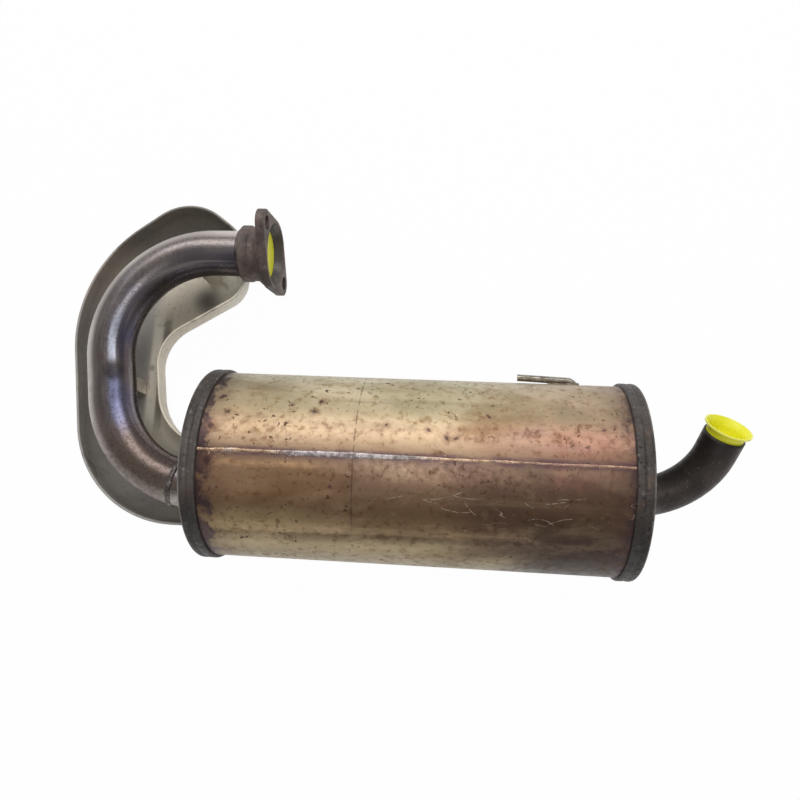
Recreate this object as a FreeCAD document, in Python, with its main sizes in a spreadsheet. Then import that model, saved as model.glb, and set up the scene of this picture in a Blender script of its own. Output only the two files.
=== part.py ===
import FreeCAD, Part
import math
import os
import Sketcher
from FreeCAD import Placement, Rotation, Vector

# Driving dimensions, millimetres and degrees.
# The drum lies along X, +Z points away from the surface that the exhaust rests on.
# Places along X are counted from the middle of the drum.
SIZES = {
    "shell_radius": 82.0,
    "shell_wall": 1.2,
    "drum_length": 372.0,
    "rim_width": 14.5,
    "rim_height": 2.7,
    "rim_edge_radius": 1.6,
    "rim_nose_radius": 3.4,
    "groove_depth": 0.7,
    "groove_half": 2.1,
    "groove_radius": 1.0,
    "roll_wall": 3.0,
    "cap_wall": 1.5,
    "cap_recess": 9.0,
    "press_radius": 3.0,
    "plateau_radius": 56.0,
    "plateau_rise": 4.0,
    "seam_width": 5.4,
    "seam_height": 0.9,
    "seam_angle": 13.0,
    "inlet_y": -21.0,
    "inlet_z": 10.0,
    "inlet_tilt": 9.8,
    "inlet_od": 42.4,
    "inlet_wall": 1.6,
    "inlet_bend": 92.0,
    "inlet_rise": 220.7,
    "inlet_depth": 36.0,
    "low_bend_reach": 8.5,
    "high_bend_back": 200.6,
    "joint_reach": 28.0,
    "flange_back": 142.7,
    "flange_thick": 8.0,
    "bolt_circle": 80.0,
    "bolt_hole": 13.0,
    "bolt_turn": 67.0,
    "lobe_radius": 12.2,
    "waist_radius": 32.5,
    "flange_round": 1.0,
    "hub_length": 30.3,
    "hub_radius": 26.5,
    "hub_land": 8.0,
    "hub_edge_radius": 1.5,
    "hub_step": 2.0,
    "hub_flare": 7.2,
    "hub_flare_radius": 4.0,
    "neck_radius": 25.4,
    "seat_radius": 29.0,
    "seat_floor_radius": 24.6,
    "seat_depth": 10.0,
    "seat_land": 1.5,
    "bead_leg": 3.6,
    "bead_crown": 2.2,
    "bead_radius": 1.8,
    "ring_width": 5.0,
    "ring_height": 1.3,
    "ring_crown_half": 1.4,
    "ring_radius": 1.0,
    "plug_wall": 1.5,
    "plug_reach": 12.0,
    "plug_play": 0.3,
    "plug_edge_radius": 0.6,
    "shield_half": 38.5,
    "shield_outer_extra": 4.0,
    "shield_low_extra": 10.0,
    "shield_lower_half": 35.0,
    "shield_gap": 6.0,
    "shield_drop": 14.4,
    "shield_deep": 38.4,
    "shield_wall": 1.2,
    "shield_press": 26.0,
    "shield_crown_drop": 18.7,
    "shield_crown_radius": 130.0,
    "shield_pad_top": 65.6,
    "shield_pad_back": 36.0,
    "shield_pad_radius": 48.0,
    "shield_pad_tip": 24.6,
    "shield_pad_shoulder": 20.0,
    "shield_nose_drop": 34.0,
    "shield_nose_radius": 30.0,
    "shield_throat_drop": 84.3,
    "shield_throat_radius": 40.0,
    "shield_notch": 1.0,
    "hem_radius": 1.3,
    "bracket_length": 14.0,
    "bracket_half": 10.0,
    "bracket_wall": 2.0,
    "bracket_fold": 0.6,
    "bracket_top": 14.8,
    "bracket_play": 0.3,
    "bracket_turn": 12.0,
    "tail_y": -13.5,
    "tail_z": 0.8,
    "tail_tilt": 27.9,
    "tail_od": 33.7,
    "tail_wall": 1.5,
    "tail_depth": 30.0,
    "tail_bend": 65.0,
    "tail_corner": 49.6,
    "tail_run": 16.6,
    "tail_rise": 65.9,
    "tail_cap_height": 7.8,
    "tail_cap_radius": 19.2,
    "tail_cap_wall": 1.2,
    "tail_cap_grip": 9.0,
    "tail_cap_lead": 1.0,
    "tail_cap_neck": 3.5,
    "tail_cap_flare": 7.0,
    "tail_cap_roll": 0.6,
    "pin_radius": 3.0,
    "pin_angle": 92.0,
    "pin_start_inset": 100.0,
    "pin_bend_inset": 54.0,
    "pin_bend_radius": 6.6,
    "pin_end_inset": 47.0,
    "pin_gap": 1.8,
    "pin_seat_gap": 0.2,
    "pin_weld_inset": 73.0,
    "pin_weld_half": 5.6,
    "pin_weld_crown_half": 2.2,
    "pin_weld_height": 1.9,
    "pin_weld_toe": 0.6,
    "pin_weld_toe_radius": 0.5,
    "pin_weld_radius": 2.0,
    "baffle_wall": 1.2,
    "baffle_flange": 9.0,
    "baffle_from_middle": 60.0,
    "baffle_stand": 14.0,
    "sleeve_wall": 1.5,
    "crossover_od": 33.7,
    "crossover_y": 38.0,
    "crossover_z": -24.0,
    "hole_diameter": 6.0,
    "hole_pitch": 15.0,
}
HOLES_PER_ROW = 5
HOLE_ROWS = 3
CUT_OVER = 1.0
NEAR = 1e-3

doc = FreeCAD.newDocument("exhaust")
sheet = doc.addObject("Spreadsheet::Sheet", "Sizes")
for row, (alias, number) in enumerate(SIZES.items(), start=1):
    sheet.set(f"A{row}", alias)
    sheet.set(f"B{row}", str(number))
    sheet.setAlias(f"B{row}", alias)
doc.recompute()


class Size:
    """A length together with the sheet formula that it comes from."""

    def __init__(self, value, formula):
        self.value = float(value)
        self.formula = formula

    def __add__(self, other):
        other = as_size(other)
        return Size(self.value + other.value, f"({self.formula} + {other.formula})")

    def __sub__(self, other):
        other = as_size(other)
        return Size(self.value - other.value, f"({self.formula} - {other.formula})")

    def __mul__(self, other):
        other = as_size(other)
        return Size(self.value * other.value, f"({self.formula} * {other.formula})")

    def __truediv__(self, other):
        other = as_size(other)
        return Size(self.value / other.value, f"({self.formula} / {other.formula})")

    def __neg__(self):
        return Size(-self.value, f"(0 - {self.formula})")


def as_size(number):
    return number if isinstance(number, Size) else Size(number, str(number))


def size(alias):
    return Size(SIZES[alias], "Sizes." + alias)


AXIS_X = Vector(1, 0, 0)
AXIS_Z = Vector(0, 0, 1)

shell_r = size("shell_radius")
shell_in = shell_r - size("shell_wall")
half_drum = size("drum_length") / 2
cap_face = half_drum - size("cap_recess")
plateau = cap_face + size("plateau_rise")
inlet_r = size("inlet_od") / 2
inlet_in = inlet_r - size("inlet_wall")
bend_r = size("inlet_bend")
rise = size("inlet_rise")
low_bend_x = half_drum + size("low_bend_reach")
high_bend_x = size("high_bend_back")
joint_x = half_drum + size("joint_reach")
flange_x = size("flange_back")
tube_end_x = flange_x + size("seat_depth")
tail_r = size("tail_od") / 2
tail_in = tail_r - size("tail_wall")
shield_floor = size("shield_drop") + size("shield_deep")
pin_start = half_drum - size("pin_start_inset")
pin_bend = half_drum - size("pin_bend_inset")
pin_end = half_drum - size("pin_end_inset")
pin_weld_start = half_drum - size("pin_weld_inset")

# The frame of the finished part starts at the middle of the inlet flange's face.
inlet_turn = Rotation(AXIS_X, -SIZES["inlet_tilt"])
inlet_local = Placement(Vector(0, SIZES["inlet_y"], SIZES["inlet_z"]), inlet_turn)
flange_centre = inlet_local.multVec(Vector(-flange_x.value, rise.value, 0))
drum_frame = Placement(-flange_centre, Rotation())
inlet_frame = drum_frame * inlet_local
flange_frame = inlet_frame * Placement(
    Vector(-flange_x.value, rise.value, 0), Rotation(AXIS_X, SIZES["bolt_turn"])
)
tail_frame = drum_frame * Placement(
    Vector(0, SIZES["tail_y"], SIZES["tail_z"]), Rotation(AXIS_X, SIZES["tail_tilt"])
)


def new_body(label, placement):
    body = doc.addObject("PartDesign::Body", label)
    body.Label = label
    body.Placement = placement
    return body


def new_sketch(body, name, role, offset=None):
    """A sketch on one of the body's own origin planes, moved along its normal by the offset."""
    sketch = body.newObject("Sketcher::SketchObject", name)
    plane = next(item for item in body.Origin.OriginFeatures if item.Role == role)
    sketch.AttachmentSupport = [(plane, "")]
    sketch.MapMode = "FlatFace"
    if offset is not None:
        sketch.AttachmentOffset = Placement(Vector(0, 0, offset.value), Rotation())
        sketch.setExpression("AttachmentOffset.Base.z", offset.formula)
    return sketch


def drive(sketch, kind, *items):
    """Add a dimension and tie it to the sheet."""
    *where, length = items
    length = as_size(length)
    index = sketch.addConstraint(Sketcher.Constraint(kind, *where, length.value))
    name = f"dim{index}"
    sketch.renameConstraint(index, name)
    sketch.setExpression("Constraints." + name, length.formula)


def place_point(sketch, geometry, end, x, y):
    for kind, length in (("DistanceX", as_size(x)), ("DistanceY", as_size(y))):
        if length.value == 0:
            axis = -2 if kind == "DistanceX" else -1
            sketch.addConstraint(Sketcher.Constraint("PointOnObject", geometry, end, axis))
        else:
            drive(sketch, kind, -1, 1, geometry, end, length)


def add_circle(sketch, x, y, radius):
    centre = Vector(as_size(x).value, as_size(y).value, 0)
    circle = sketch.addGeometry(Part.Circle(centre, AXIS_Z, as_size(radius).value), False)
    place_point(sketch, circle, 3, x, y)
    drive(sketch, "Radius", circle, radius)
    return circle


def corner_arc(before, corner, after, radius):
    """The tangent arc at a corner, as its two ends, its middle and whether it turns left."""
    to_before = (before - corner).normalize()
    to_after = (after - corner).normalize()
    half_angle = to_before.getAngle(to_after) / 2
    reach = radius / math.tan(half_angle)
    middle = corner + (to_before + to_after).normalize() * (radius / math.sin(half_angle))
    turns_left = to_before.cross(to_after).z < 0
    return corner + to_before * reach, corner + to_after * reach, middle, turns_left


def add_arc(sketch, first, last, middle, turns_left):
    """An arc from first to last; returns it with the names of its two ends."""
    start, stop = (first, last) if turns_left else (last, first)
    circle = Part.Circle(middle, AXIS_Z, (first - middle).Length)
    begin = math.atan2(start.y - middle.y, start.x - middle.x)
    finish = math.atan2(stop.y - middle.y, stop.x - middle.x)
    arc = sketch.addGeometry(Part.ArcOfCircle(circle, begin, finish), False)
    return (arc, 1, 2) if turns_left else (arc, 2, 1)


def add_line(sketch, first, last):
    return sketch.addGeometry(Part.LineSegment(first, last), False)


def outline(sketch, corners, closed=True):
    """Straight sides through the corners (x, y, radius), each corner rounded by its radius."""
    count = len(corners)
    spots = [Vector(as_size(x).value, as_size(y).value, 0) for x, y, _ in corners]
    arcs = {}
    for i, (_, _, radius) in enumerate(corners):
        if as_size(radius).value > 0:
            arcs[i] = corner_arc(spots[i - 1], spots[i], spots[(i + 1) % count],
                                 as_size(radius).value)
    sides = {}
    for i in range(count if closed else count - 1):
        j = (i + 1) % count
        first = arcs[i][1] if i in arcs else spots[i]
        last = arcs[j][0] if j in arcs else spots[j]
        sides[i] = add_line(sketch, first, last)
    for i, (x, y, radius) in enumerate(corners):
        leaving = sides.get(i)
        arriving = sides.get((i - 1) % count)
        if i in arcs:
            arc, near, far = add_arc(sketch, *arcs[i])
            sketch.addConstraint(Sketcher.Constraint("Tangent", arriving, 2, arc, near))
            sketch.addConstraint(Sketcher.Constraint("Tangent", arc, far, leaving, 1))
            mark = sketch.addGeometry(Part.Point(spots[i]), True)
            sketch.addConstraint(Sketcher.Constraint("PointOnObject", mark, 1, arriving))
            sketch.addConstraint(Sketcher.Constraint("PointOnObject", mark, 1, leaving))
            place_point(sketch, mark, 1, x, y)
            drive(sketch, "Radius", arc, radius)
        elif leaving is None:
            place_point(sketch, arriving, 2, x, y)
        else:
            place_point(sketch, leaving, 1, x, y)
            if arriving is not None:
                sketch.addConstraint(Sketcher.Constraint("Coincident", arriving, 2, leaving, 1))


def pad(body, sketch, length, reverse=False):
    feature = body.newObject("PartDesign::Pad", sketch.Name + "_pad")
    feature.Profile = sketch
    feature.Length = length.value
    feature.setExpression("Length", length.formula)
    feature.Reversed = reverse
    return feature


def revolve(body, sketch, kind="Revolution"):
    """Turn a profile of (place along X, radius) about the body's X axis."""
    feature = body.newObject("PartDesign::" + kind, sketch.Name + "_" + kind.lower())
    feature.Profile = sketch
    feature.ReferenceAxis = (sketch, ["H_Axis"])
    feature.Angle = 360
    return feature


def turned(label, placement, corners):
    body = new_body(label, placement)
    sketch = new_sketch(body, label + "_profile", "XY_Plane")
    outline(sketch, corners)
    revolve(body, sketch)
    return body


def cut_through(body, sketch, length):
    """Cut a sketch to both sides of its plane and make sure that it took material away."""
    doc.recompute()
    before = body.Shape.Volume
    feature = body.newObject("PartDesign::Pocket", sketch.Name + "_cut")
    feature.Profile = sketch
    feature.Midplane = True
    feature.Length = length.value
    feature.setExpression("Length", length.formula)
    doc.recompute()
    if body.Shape.Volume >= before:
        raise RuntimeError(body.Label + ": the cut removes nothing")
    return feature


def cut_holes(body, name, holes):
    """Round holes (y, z, radius) through the body along X."""
    sketch = new_sketch(body, name, "YZ_Plane")
    for y, z, radius in holes:
        add_circle(sketch, y, z, radius)
    return cut_through(body, sketch, size("drum_length") * 2)


def sweep(body, profile, path, kind="AdditivePipe"):
    feature = body.newObject("PartDesign::" + kind, path.Name + "_sweep")
    feature.Profile = profile
    feature.Spine = (path, [])
    return feature


def tube_section(body, name, x, y, outer, inner=None):
    """A round section across X at the place x, with its middle at y."""
    sketch = new_sketch(body, name, "YZ_Plane", x)
    add_circle(sketch, y, 0, outer)
    if inner is not None:
        add_circle(sketch, y, 0, inner)
    return sketch


def tube(label, placement, start, stop, outer, inner):
    """A straight tube along the X axis of its frame."""
    corners = [(start, inner, 0), (stop, inner, 0), (stop, outer, 0), (start, outer, 0)]
    return turned(label, placement, corners)


def fillet_bead(label, placement, face, radius):
    """A fillet weld round a tube that leaves a flat face along +X."""
    leg = size("bead_leg")
    crown = size("bead_crown")
    corners = [
        (face, radius, 0),
        (face + leg, radius, 0),
        (face + crown, radius + crown, size("bead_radius")),
        (face, radius + leg, 0),
    ]
    return turned(label, placement, corners)


def drum_shell():
    end = half_drum - size("roll_wall")
    return tube("drum_shell", drum_frame, -end, end, shell_r, shell_in)


def shell_seam_weld():
    """The lengthwise butt weld, a low bead that sits on the shell between the rolled rims."""
    placement = drum_frame * Placement(Vector(), Rotation(AXIS_X, -SIZES["seam_angle"]))
    body = new_body("shell_seam_weld", placement)
    end = half_drum - size("rim_width")
    sketch = new_sketch(body, "seam_section", "YZ_Plane", -end)
    half = size("seam_width") / 2
    top = shell_r + size("seam_height")
    lean = math.asin(half.value / shell_r.value)
    side = Vector(half.value, shell_r.value * math.cos(lean), 0)
    other = Vector(-side.x, side.y, 0)
    sag = top.value - side.y
    bulge = (half.value ** 2 + sag ** 2) / (2 * sag)
    below, below_near, below_far = add_arc(sketch, side, other, Vector(0, 0, 0), True)
    middle = Vector(0, top.value - bulge, 0)
    above, above_near, above_far = add_arc(sketch, side, other, middle, True)
    crown = sketch.addGeometry(Part.Point(Vector(0, top.value, 0)), True)
    sketch.addConstraint(Sketcher.Constraint("Coincident", below, 3, -1, 1))
    sketch.addConstraint(Sketcher.Constraint("Coincident", below, below_near, above, above_near))
    sketch.addConstraint(Sketcher.Constraint("Coincident", below, below_far, above, above_far))
    sketch.addConstraint(Sketcher.Constraint("PointOnObject", above, 3, -2))
    sketch.addConstraint(Sketcher.Constraint("PointOnObject", crown, 1, above))
    drive(sketch, "Radius", below, shell_r)
    drive(sketch, "DistanceX", -1, 1, below, below_near, half)
    place_point(sketch, crown, 1, 0, top)
    pad(body, sketch, end * 2)
    return body


def end_cap(label, faces_inlet, hole_y, hole_z, hole_radius):
    """A dished pressing whose edge is rolled outward over the end of the shell."""
    turn = Rotation(AXIS_Z, 180 if faces_inlet else 0)
    wall = size("cap_wall")
    band = half_drum - size("rim_width")
    band_middle = half_drum - size("rim_width") / 2
    rim_r = shell_r + size("rim_height")
    groove_half = size("groove_half")
    groove_r = size("groove_radius")
    skirt_in = shell_in - wall
    step = size("plateau_radius")
    slope = size("plateau_rise")
    press = size("press_radius")
    roll_end = half_drum - size("roll_wall")
    corners = [
        (band, shell_r, 0),
        (band, rim_r, size("rim_edge_radius")),
        (band_middle - groove_half, rim_r, groove_r),
        (band_middle, rim_r - size("groove_depth"), groove_r),
        (band_middle + groove_half, rim_r, groove_r),
        (half_drum, rim_r, size("rim_nose_radius")),
        (half_drum, skirt_in, groove_r),
        (cap_face, skirt_in, press),
        (cap_face, step + slope, press),
        (plateau, step, press),
        (plateau, 0, 0),
        (plateau - wall, 0, 0),
        (plateau - wall, step - wall / 2, press - wall),
        (cap_face - wall, step + slope - wall / 2, press + wall),
        (cap_face - wall, shell_in, press + wall),
        (roll_end, shell_in, 0),
        (roll_end, shell_r, 0),
    ]
    body = turned(label, drum_frame * Placement(Vector(), turn), corners)
    cut_holes(body, label + "_hole", [(hole_y, hole_z, hole_radius)])
    return body


def inlet_bend_points():
    """Ends of the straight leg between the two equal bends, in the inlet's own plane."""
    low = Vector(-low_bend_x.value, bend_r.value, 0)
    high = Vector(-high_bend_x.value, rise.value - bend_r.value, 0)
    along = (high - low).normalize()
    out = Vector(-along.y, along.x, 0)
    return low, high, low + out * bend_r.value, high + out * bend_r.value, along


def joint_spot():
    """Where the stub meets the pipe, part of the way round the lower bend, and its angle."""
    angle = math.asin((joint_x.value - low_bend_x.value) / bend_r.value)
    lift = bend_r.value * (1 - math.cos(angle))
    return Vector(-joint_x.value, lift, 0), angle


def hold_arc(sketch, arc, x, y, radius):
    place_point(sketch, arc, 3, x, y)
    drive(sketch, "Radius", arc, radius)


def inlet_stub():
    """The short tube through the inlet cap, which ends a little way round the lower bend."""
    body = new_body("inlet_stub", inlet_frame)
    inner_end = plateau - size("inlet_depth")
    section = tube_section(body, "stub_section", -inner_end, 0, inlet_r, inlet_in)
    path = new_sketch(body, "stub_path", "XY_Plane")
    spot, _ = joint_spot()
    start = Vector(-inner_end.value, 0, 0)
    turn = Vector(-low_bend_x.value, 0, 0)
    straight = add_line(path, start, turn)
    arc, near, far = add_arc(path, turn, spot, Vector(turn.x, bend_r.value, 0), False)
    path.addConstraint(Sketcher.Constraint("Tangent", straight, 2, arc, near))
    place_point(path, straight, 1, -inner_end, 0)
    hold_arc(path, arc, -low_bend_x, bend_r, bend_r)
    drive(path, "DistanceX", -1, 1, arc, far, -joint_x)
    sweep(body, section, path)
    return body


def inlet_pipe():
    """The bent pipe from the flange, round both bends, to the stub."""
    body = new_body("inlet_pipe", inlet_frame)
    section = tube_section(body, "pipe_section", -tube_end_x, rise, inlet_r, inlet_in)
    path = new_sketch(body, "pipe_path", "XY_Plane")
    low, high, leg_low, leg_high, _ = inlet_bend_points()
    spot, _ = joint_spot()
    end = Vector(-tube_end_x.value, rise.value, 0)
    top = Vector(-high_bend_x.value, rise.value, 0)
    run = add_line(path, end, top)
    high_arc, high_near, high_far = add_arc(path, top, leg_high, high, True)
    leg = add_line(path, leg_high, leg_low)
    low_arc, low_near, low_far = add_arc(path, leg_low, spot, low, True)
    path.addConstraint(Sketcher.Constraint("Tangent", run, 2, high_arc, high_near))
    path.addConstraint(Sketcher.Constraint("Tangent", high_arc, high_far, leg, 1))
    path.addConstraint(Sketcher.Constraint("Tangent", leg, 2, low_arc, low_near))
    place_point(path, run, 1, -tube_end_x, rise)
    hold_arc(path, high_arc, -high_bend_x, rise - bend_r, bend_r)
    hold_arc(path, low_arc, -low_bend_x, bend_r, bend_r)
    drive(path, "DistanceX", -1, 1, low_arc, low_far, -joint_x)
    sweep(body, section, path)
    return body


def inlet_joint_weld():
    """The raised ring weld between stub and pipe."""
    spot, angle = joint_spot()
    turn = Rotation(AXIS_Z, 180 - math.degrees(angle))
    half = size("ring_width") / 2
    crown = inlet_r + size("ring_height")
    crown_half = size("ring_crown_half")
    corners = [
        (-half, inlet_r, 0),
        (half, inlet_r, 0),
        (crown_half, crown, size("ring_radius")),
        (-crown_half, crown, size("ring_radius")),
    ]
    return turned("inlet_joint_weld", inlet_frame * Placement(spot, turn), corners)


def flange_plate(body):
    """The two-lobed plate: arcs round the bolt holes and the waist, joined by tangents."""
    sketch = new_sketch(body, "plate_outline", "YZ_Plane")
    lobe = size("lobe_radius")
    waist = size("waist_radius")
    reach = size("bolt_circle") / 2
    lean = math.asin((waist.value - lobe.value) / reach.value)
    sine = math.sin(lean)
    cosine = math.cos(lean)
    tangents = []
    for side, up in ((1, 1), (-1, 1), (-1, -1), (1, -1)):
        normal = Vector(side * sine, up * cosine, 0)
        tip = Vector(side * reach.value, 0, 0) + normal * lobe.value
        tangents.append((tip, normal * waist.value))
    right_up, left_up, left_down, right_down = tangents
    zero = Vector(0, 0, 0)
    right = Vector(reach.value, 0, 0)
    sides = [
        add_line(sketch, right_up[0], right_up[1]),
        add_line(sketch, left_up[1], left_up[0]),
        add_line(sketch, left_down[0], left_down[1]),
        add_line(sketch, right_down[1], right_down[0]),
    ]
    arcs = [
        add_arc(sketch, right_up[1], left_up[1], zero, True),
        add_arc(sketch, left_up[0], left_down[0], -right, True),
        add_arc(sketch, left_down[1], right_down[1], zero, True),
        add_arc(sketch, right_down[0], right_up[0], right, True),
    ]
    for i, (arc, near, far) in enumerate(arcs):
        sketch.addConstraint(Sketcher.Constraint("Tangent", sides[i], 2, arc, near))
        sketch.addConstraint(Sketcher.Constraint("Tangent", arc, far, sides[(i + 1) % 4], 1))
    hold_arc(sketch, arcs[0][0], 0, 0, waist)
    hold_arc(sketch, arcs[1][0], -reach, 0, lobe)
    hold_arc(sketch, arcs[2][0], 0, 0, waist)
    hold_arc(sketch, arcs[3][0], reach, 0, lobe)
    plate = pad(body, sketch, size("flange_thick"), reverse=True)
    doc.recompute()
    rounding = body.newObject("PartDesign::Fillet", "plate_rounding")
    flat = [
        f"Edge{i}" for i, edge in enumerate(plate.Shape.Edges, start=1)
        if edge.BoundBox.XLength < NEAR
    ]
    rounding.Base = (plate, flat)
    rounding.Radius = SIZES["flange_round"]
    rounding.setExpression("Radius", "Sizes.flange_round")


def inlet_flange():
    """The cast flange: plate, flared hub and the cone seat, bored for the pipe."""
    body = new_body("inlet_flange", flange_frame)
    flange_plate(body)
    thick = size("flange_thick")
    hub = size("hub_radius")
    neck = size("neck_radius")
    back = size("hub_length")
    land = back - size("hub_land")
    root = size("waist_radius") - size("flange_round")
    edge_r = size("hub_edge_radius")
    hub_sketch = new_sketch(body, "hub_profile", "XY_Plane")
    outline(hub_sketch, [
        (-thick / 2, 0, 0),
        (-thick / 2, root, 0),
        (-thick, root, 0),
        (-thick - size("hub_flare"), neck, size("hub_flare_radius")),
        (-land + size("hub_step"), neck, edge_r),
        (-land, hub, edge_r / 2),
        (-back, hub, edge_r),
        (-back, 0, 0),
    ])
    revolve(body, hub_sketch)
    bore_sketch = new_sketch(body, "bore_profile", "XY_Plane")
    floor = size("seat_depth")
    outline(bore_sketch, [
        (CUT_OVER, 0, 0),
        (CUT_OVER, size("seat_radius"), 0),
        (0, size("seat_radius"), 0),
        (-floor + size("seat_land"), size("seat_floor_radius"), 0),
        (-floor, size("seat_floor_radius"), 0),
        (-floor, inlet_r, 0),
        (-back - CUT_OVER, inlet_r, 0),
        (-back - CUT_OVER, 0, 0),
    ])
    revolve(body, bore_sketch, "Groove")
    reach = size("bolt_circle") / 2
    hole_r = size("bolt_hole") / 2
    cut_holes(body, "bolt_holes", [(reach, 0, hole_r), (-reach, 0, hole_r)])
    return body


def flange_weld():
    """The fillet weld behind the hub, between it and the pipe."""
    placement = flange_frame * Placement(Vector(), Rotation(AXIS_Z, 180))
    return fillet_bead("flange_weld", placement, size("hub_length"), inlet_r)


def stub_weld():
    """The fillet weld round the stub on the inlet cap."""
    placement = inlet_frame * Placement(Vector(), Rotation(AXIS_Z, 180))
    return fillet_bead("inlet_stub_weld", placement, plateau, inlet_r)


def inlet_plug():
    """The push-in transit plug: a disc on the pipe's end face and a hollow skirt in its bore."""
    wall = size("plug_wall")
    seat = size("seat_depth")
    tip = seat + size("plug_reach")
    edge = size("seat_floor_radius") - size("plug_play")
    corners = [
        (-seat + wall, 0, 0),
        (-seat + wall, edge, size("plug_edge_radius")),
        (-seat, edge, 0),
        (-seat, inlet_in, 0),
        (-tip, inlet_in, 0),
        (-tip, inlet_in - wall, 0),
        (-seat, inlet_in - wall, 0),
        (-seat, 0, 0),
    ]
    return turned("inlet_plug", flange_frame, corners)


def shield_corners():
    """The pressed outline: a gutter along the pipe that ends in a round pad under the flange."""
    lower = size("shield_lower_half")
    half = size("shield_half")
    end = half_drum + size("shield_gap")
    _, _, leg_low, _, along = inlet_bend_points()
    lean = -along.x / along.y
    leg_at_zero = -leg_low.x - lean * leg_low.y
    outer = half + size("shield_outer_extra") + leg_at_zero
    inner = -half + leg_at_zero
    crown = rise - size("shield_crown_drop")
    throat = rise - size("shield_throat_drop")
    tip = -high_bend_x + size("shield_pad_tip")
    pad_r = size("shield_pad_radius")
    return [
        (-end, -lower, 0),
        (-outer + lower * lean, -lower, bend_r + size("shield_low_extra")),
        (-outer - crown * lean, crown, size("shield_crown_radius")),
        (-high_bend_x - size("shield_pad_back"), rise + size("shield_pad_top"), pad_r),
        (tip, rise + size("shield_pad_shoulder"), pad_r),
        (tip, rise - size("shield_nose_drop"), size("shield_nose_radius")),
        (-inner - throat * lean, throat, size("shield_throat_radius")),
        (-inner - half * lean, half, bend_r - half),
        (-end, half, 0),
    ]


def heat_shield():
    """A pressed gutter with rounded sides, open at the drum end, with a rolled hem."""
    body = new_body("heat_shield", inlet_frame)
    corners = shield_corners()
    sketch = new_sketch(body, "shield_outline", "XY_Plane", -size("shield_drop"))
    outline(sketch, corners)
    block = pad(body, sketch, size("shield_deep"), reverse=True)
    doc.recompute()
    floor = -shield_floor.value
    end = corners[0][0].value
    press = body.newObject("PartDesign::Fillet", "shield_press")
    press.Base = (block, [
        f"Edge{i}" for i, edge in enumerate(block.Shape.Edges, start=1)
        if edge.BoundBox.ZMax < floor + NEAR and edge.BoundBox.XMin < end - NEAR
    ])
    press.Radius = SIZES["shield_press"]
    press.setExpression("Radius", "Sizes.shield_press")
    doc.recompute()
    hollow = body.newObject("PartDesign::Thickness", "shield_hollow")
    top = -SIZES["shield_drop"]
    hollow.Base = (press, [
        f"Face{i}" for i, face in enumerate(press.Shape.Faces, start=1)
        if face.BoundBox.ZMin > top - NEAR
    ])
    hollow.Value = SIZES["shield_wall"]
    hollow.setExpression("Value", "Sizes.shield_wall")
    hollow.Reversed = True
    hem = new_sketch(body, "hem_section", "YZ_Plane", corners[0][0])
    add_circle(hem, corners[0][1], -size("shield_drop"), size("hem_radius"))
    hem_path = new_sketch(body, "hem_path", "XY_Plane", -size("shield_drop"))
    outline(hem_path, corners, closed=False)
    sweep(body, hem, hem_path)
    cut_shield_end(body, -corners[0][0])
    notch_shield(body)
    return body


def cut_shield_end(body, end):
    """Take the end wall away, so that the gutter is open towards the drum."""
    sketch = new_sketch(body, "shield_end", "YZ_Plane", -end)
    wide = size("shield_half") * 2
    deep = shield_floor * 2
    outline(sketch, [(-wide, -deep, 0), (wide, -deep, 0), (wide, deep, 0), (-wide, deep, 0)])
    cut_through(body, sketch, size("shield_wall") * 4)


def notch_shield(body):
    """Open the round end under the flange, so that the pipe and its weld pass over the rim."""
    sketch = new_sketch(body, "pipe_notch", "YZ_Plane", -flange_x)
    add_circle(sketch, rise, 0, inlet_r + size("bead_leg") + size("shield_notch"))
    cut_through(body, sketch, (high_bend_x - flange_x) * 2)


def shield_bracket(label, spot, angle):
    """A folded channel that stands on the shield's floor and cradles the pipe."""
    placement = inlet_frame * Placement(spot, Rotation(AXIS_Z, angle))
    body = new_body(label, placement)
    half = size("bracket_half")
    wall = size("bracket_wall")
    length = size("bracket_length")
    floor = shield_floor - size("shield_wall")
    top = size("bracket_top")
    fold = size("bracket_fold")
    sketch = new_sketch(body, label + "_section", "YZ_Plane", -length / 2)
    outline(sketch, [
        (-half, -floor, fold + wall),
        (half, -floor, fold + wall),
        (half, -top, 0),
        (half - wall, -top, 0),
        (half - wall, -floor + wall, fold),
        (-half + wall, -floor + wall, fold),
        (-half + wall, -top, 0),
        (-half, -top, 0),
    ])
    pad(body, sketch, length)
    cut_holes(body, label + "_cradle", [(0, 0, inlet_r + size("bracket_play"))])
    return body


def shield_brackets():
    """One bracket under the straight leg, one just round the bend next to the flange."""
    _, high, leg_low, leg_high, along = inlet_bend_points()
    middle = (leg_low + leg_high) * 0.5
    angle = math.degrees(math.atan2(along.y, along.x))
    shield_bracket("shield_bracket_leg", middle, angle)
    turn = math.radians(SIZES["bracket_turn"])
    out = Vector(-math.sin(turn), math.cos(turn), 0)
    shield_bracket("shield_bracket_top", high + out * bend_r.value, SIZES["bracket_turn"])


def tail_corners():
    inner_end = plateau - size("tail_depth")
    corner = half_drum + size("tail_corner")
    return [
        (inner_end, 0, 0),
        (corner, 0, size("tail_bend")),
        (corner + size("tail_run"), size("tail_rise"), 0),
    ]


def tail_pipe():
    body = new_body("tail_pipe", tail_frame)
    corners = tail_corners()
    section = tube_section(body, "tail_section", corners[0][0], 0, tail_r, tail_in)
    path = new_sketch(body, "tail_path", "XY_Plane")
    outline(path, corners, closed=False)
    sweep(body, section, path)
    return body


def tail_pipe_weld():
    return fillet_bead("tail_pipe_weld", tail_frame, plateau, tail_r)


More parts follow.
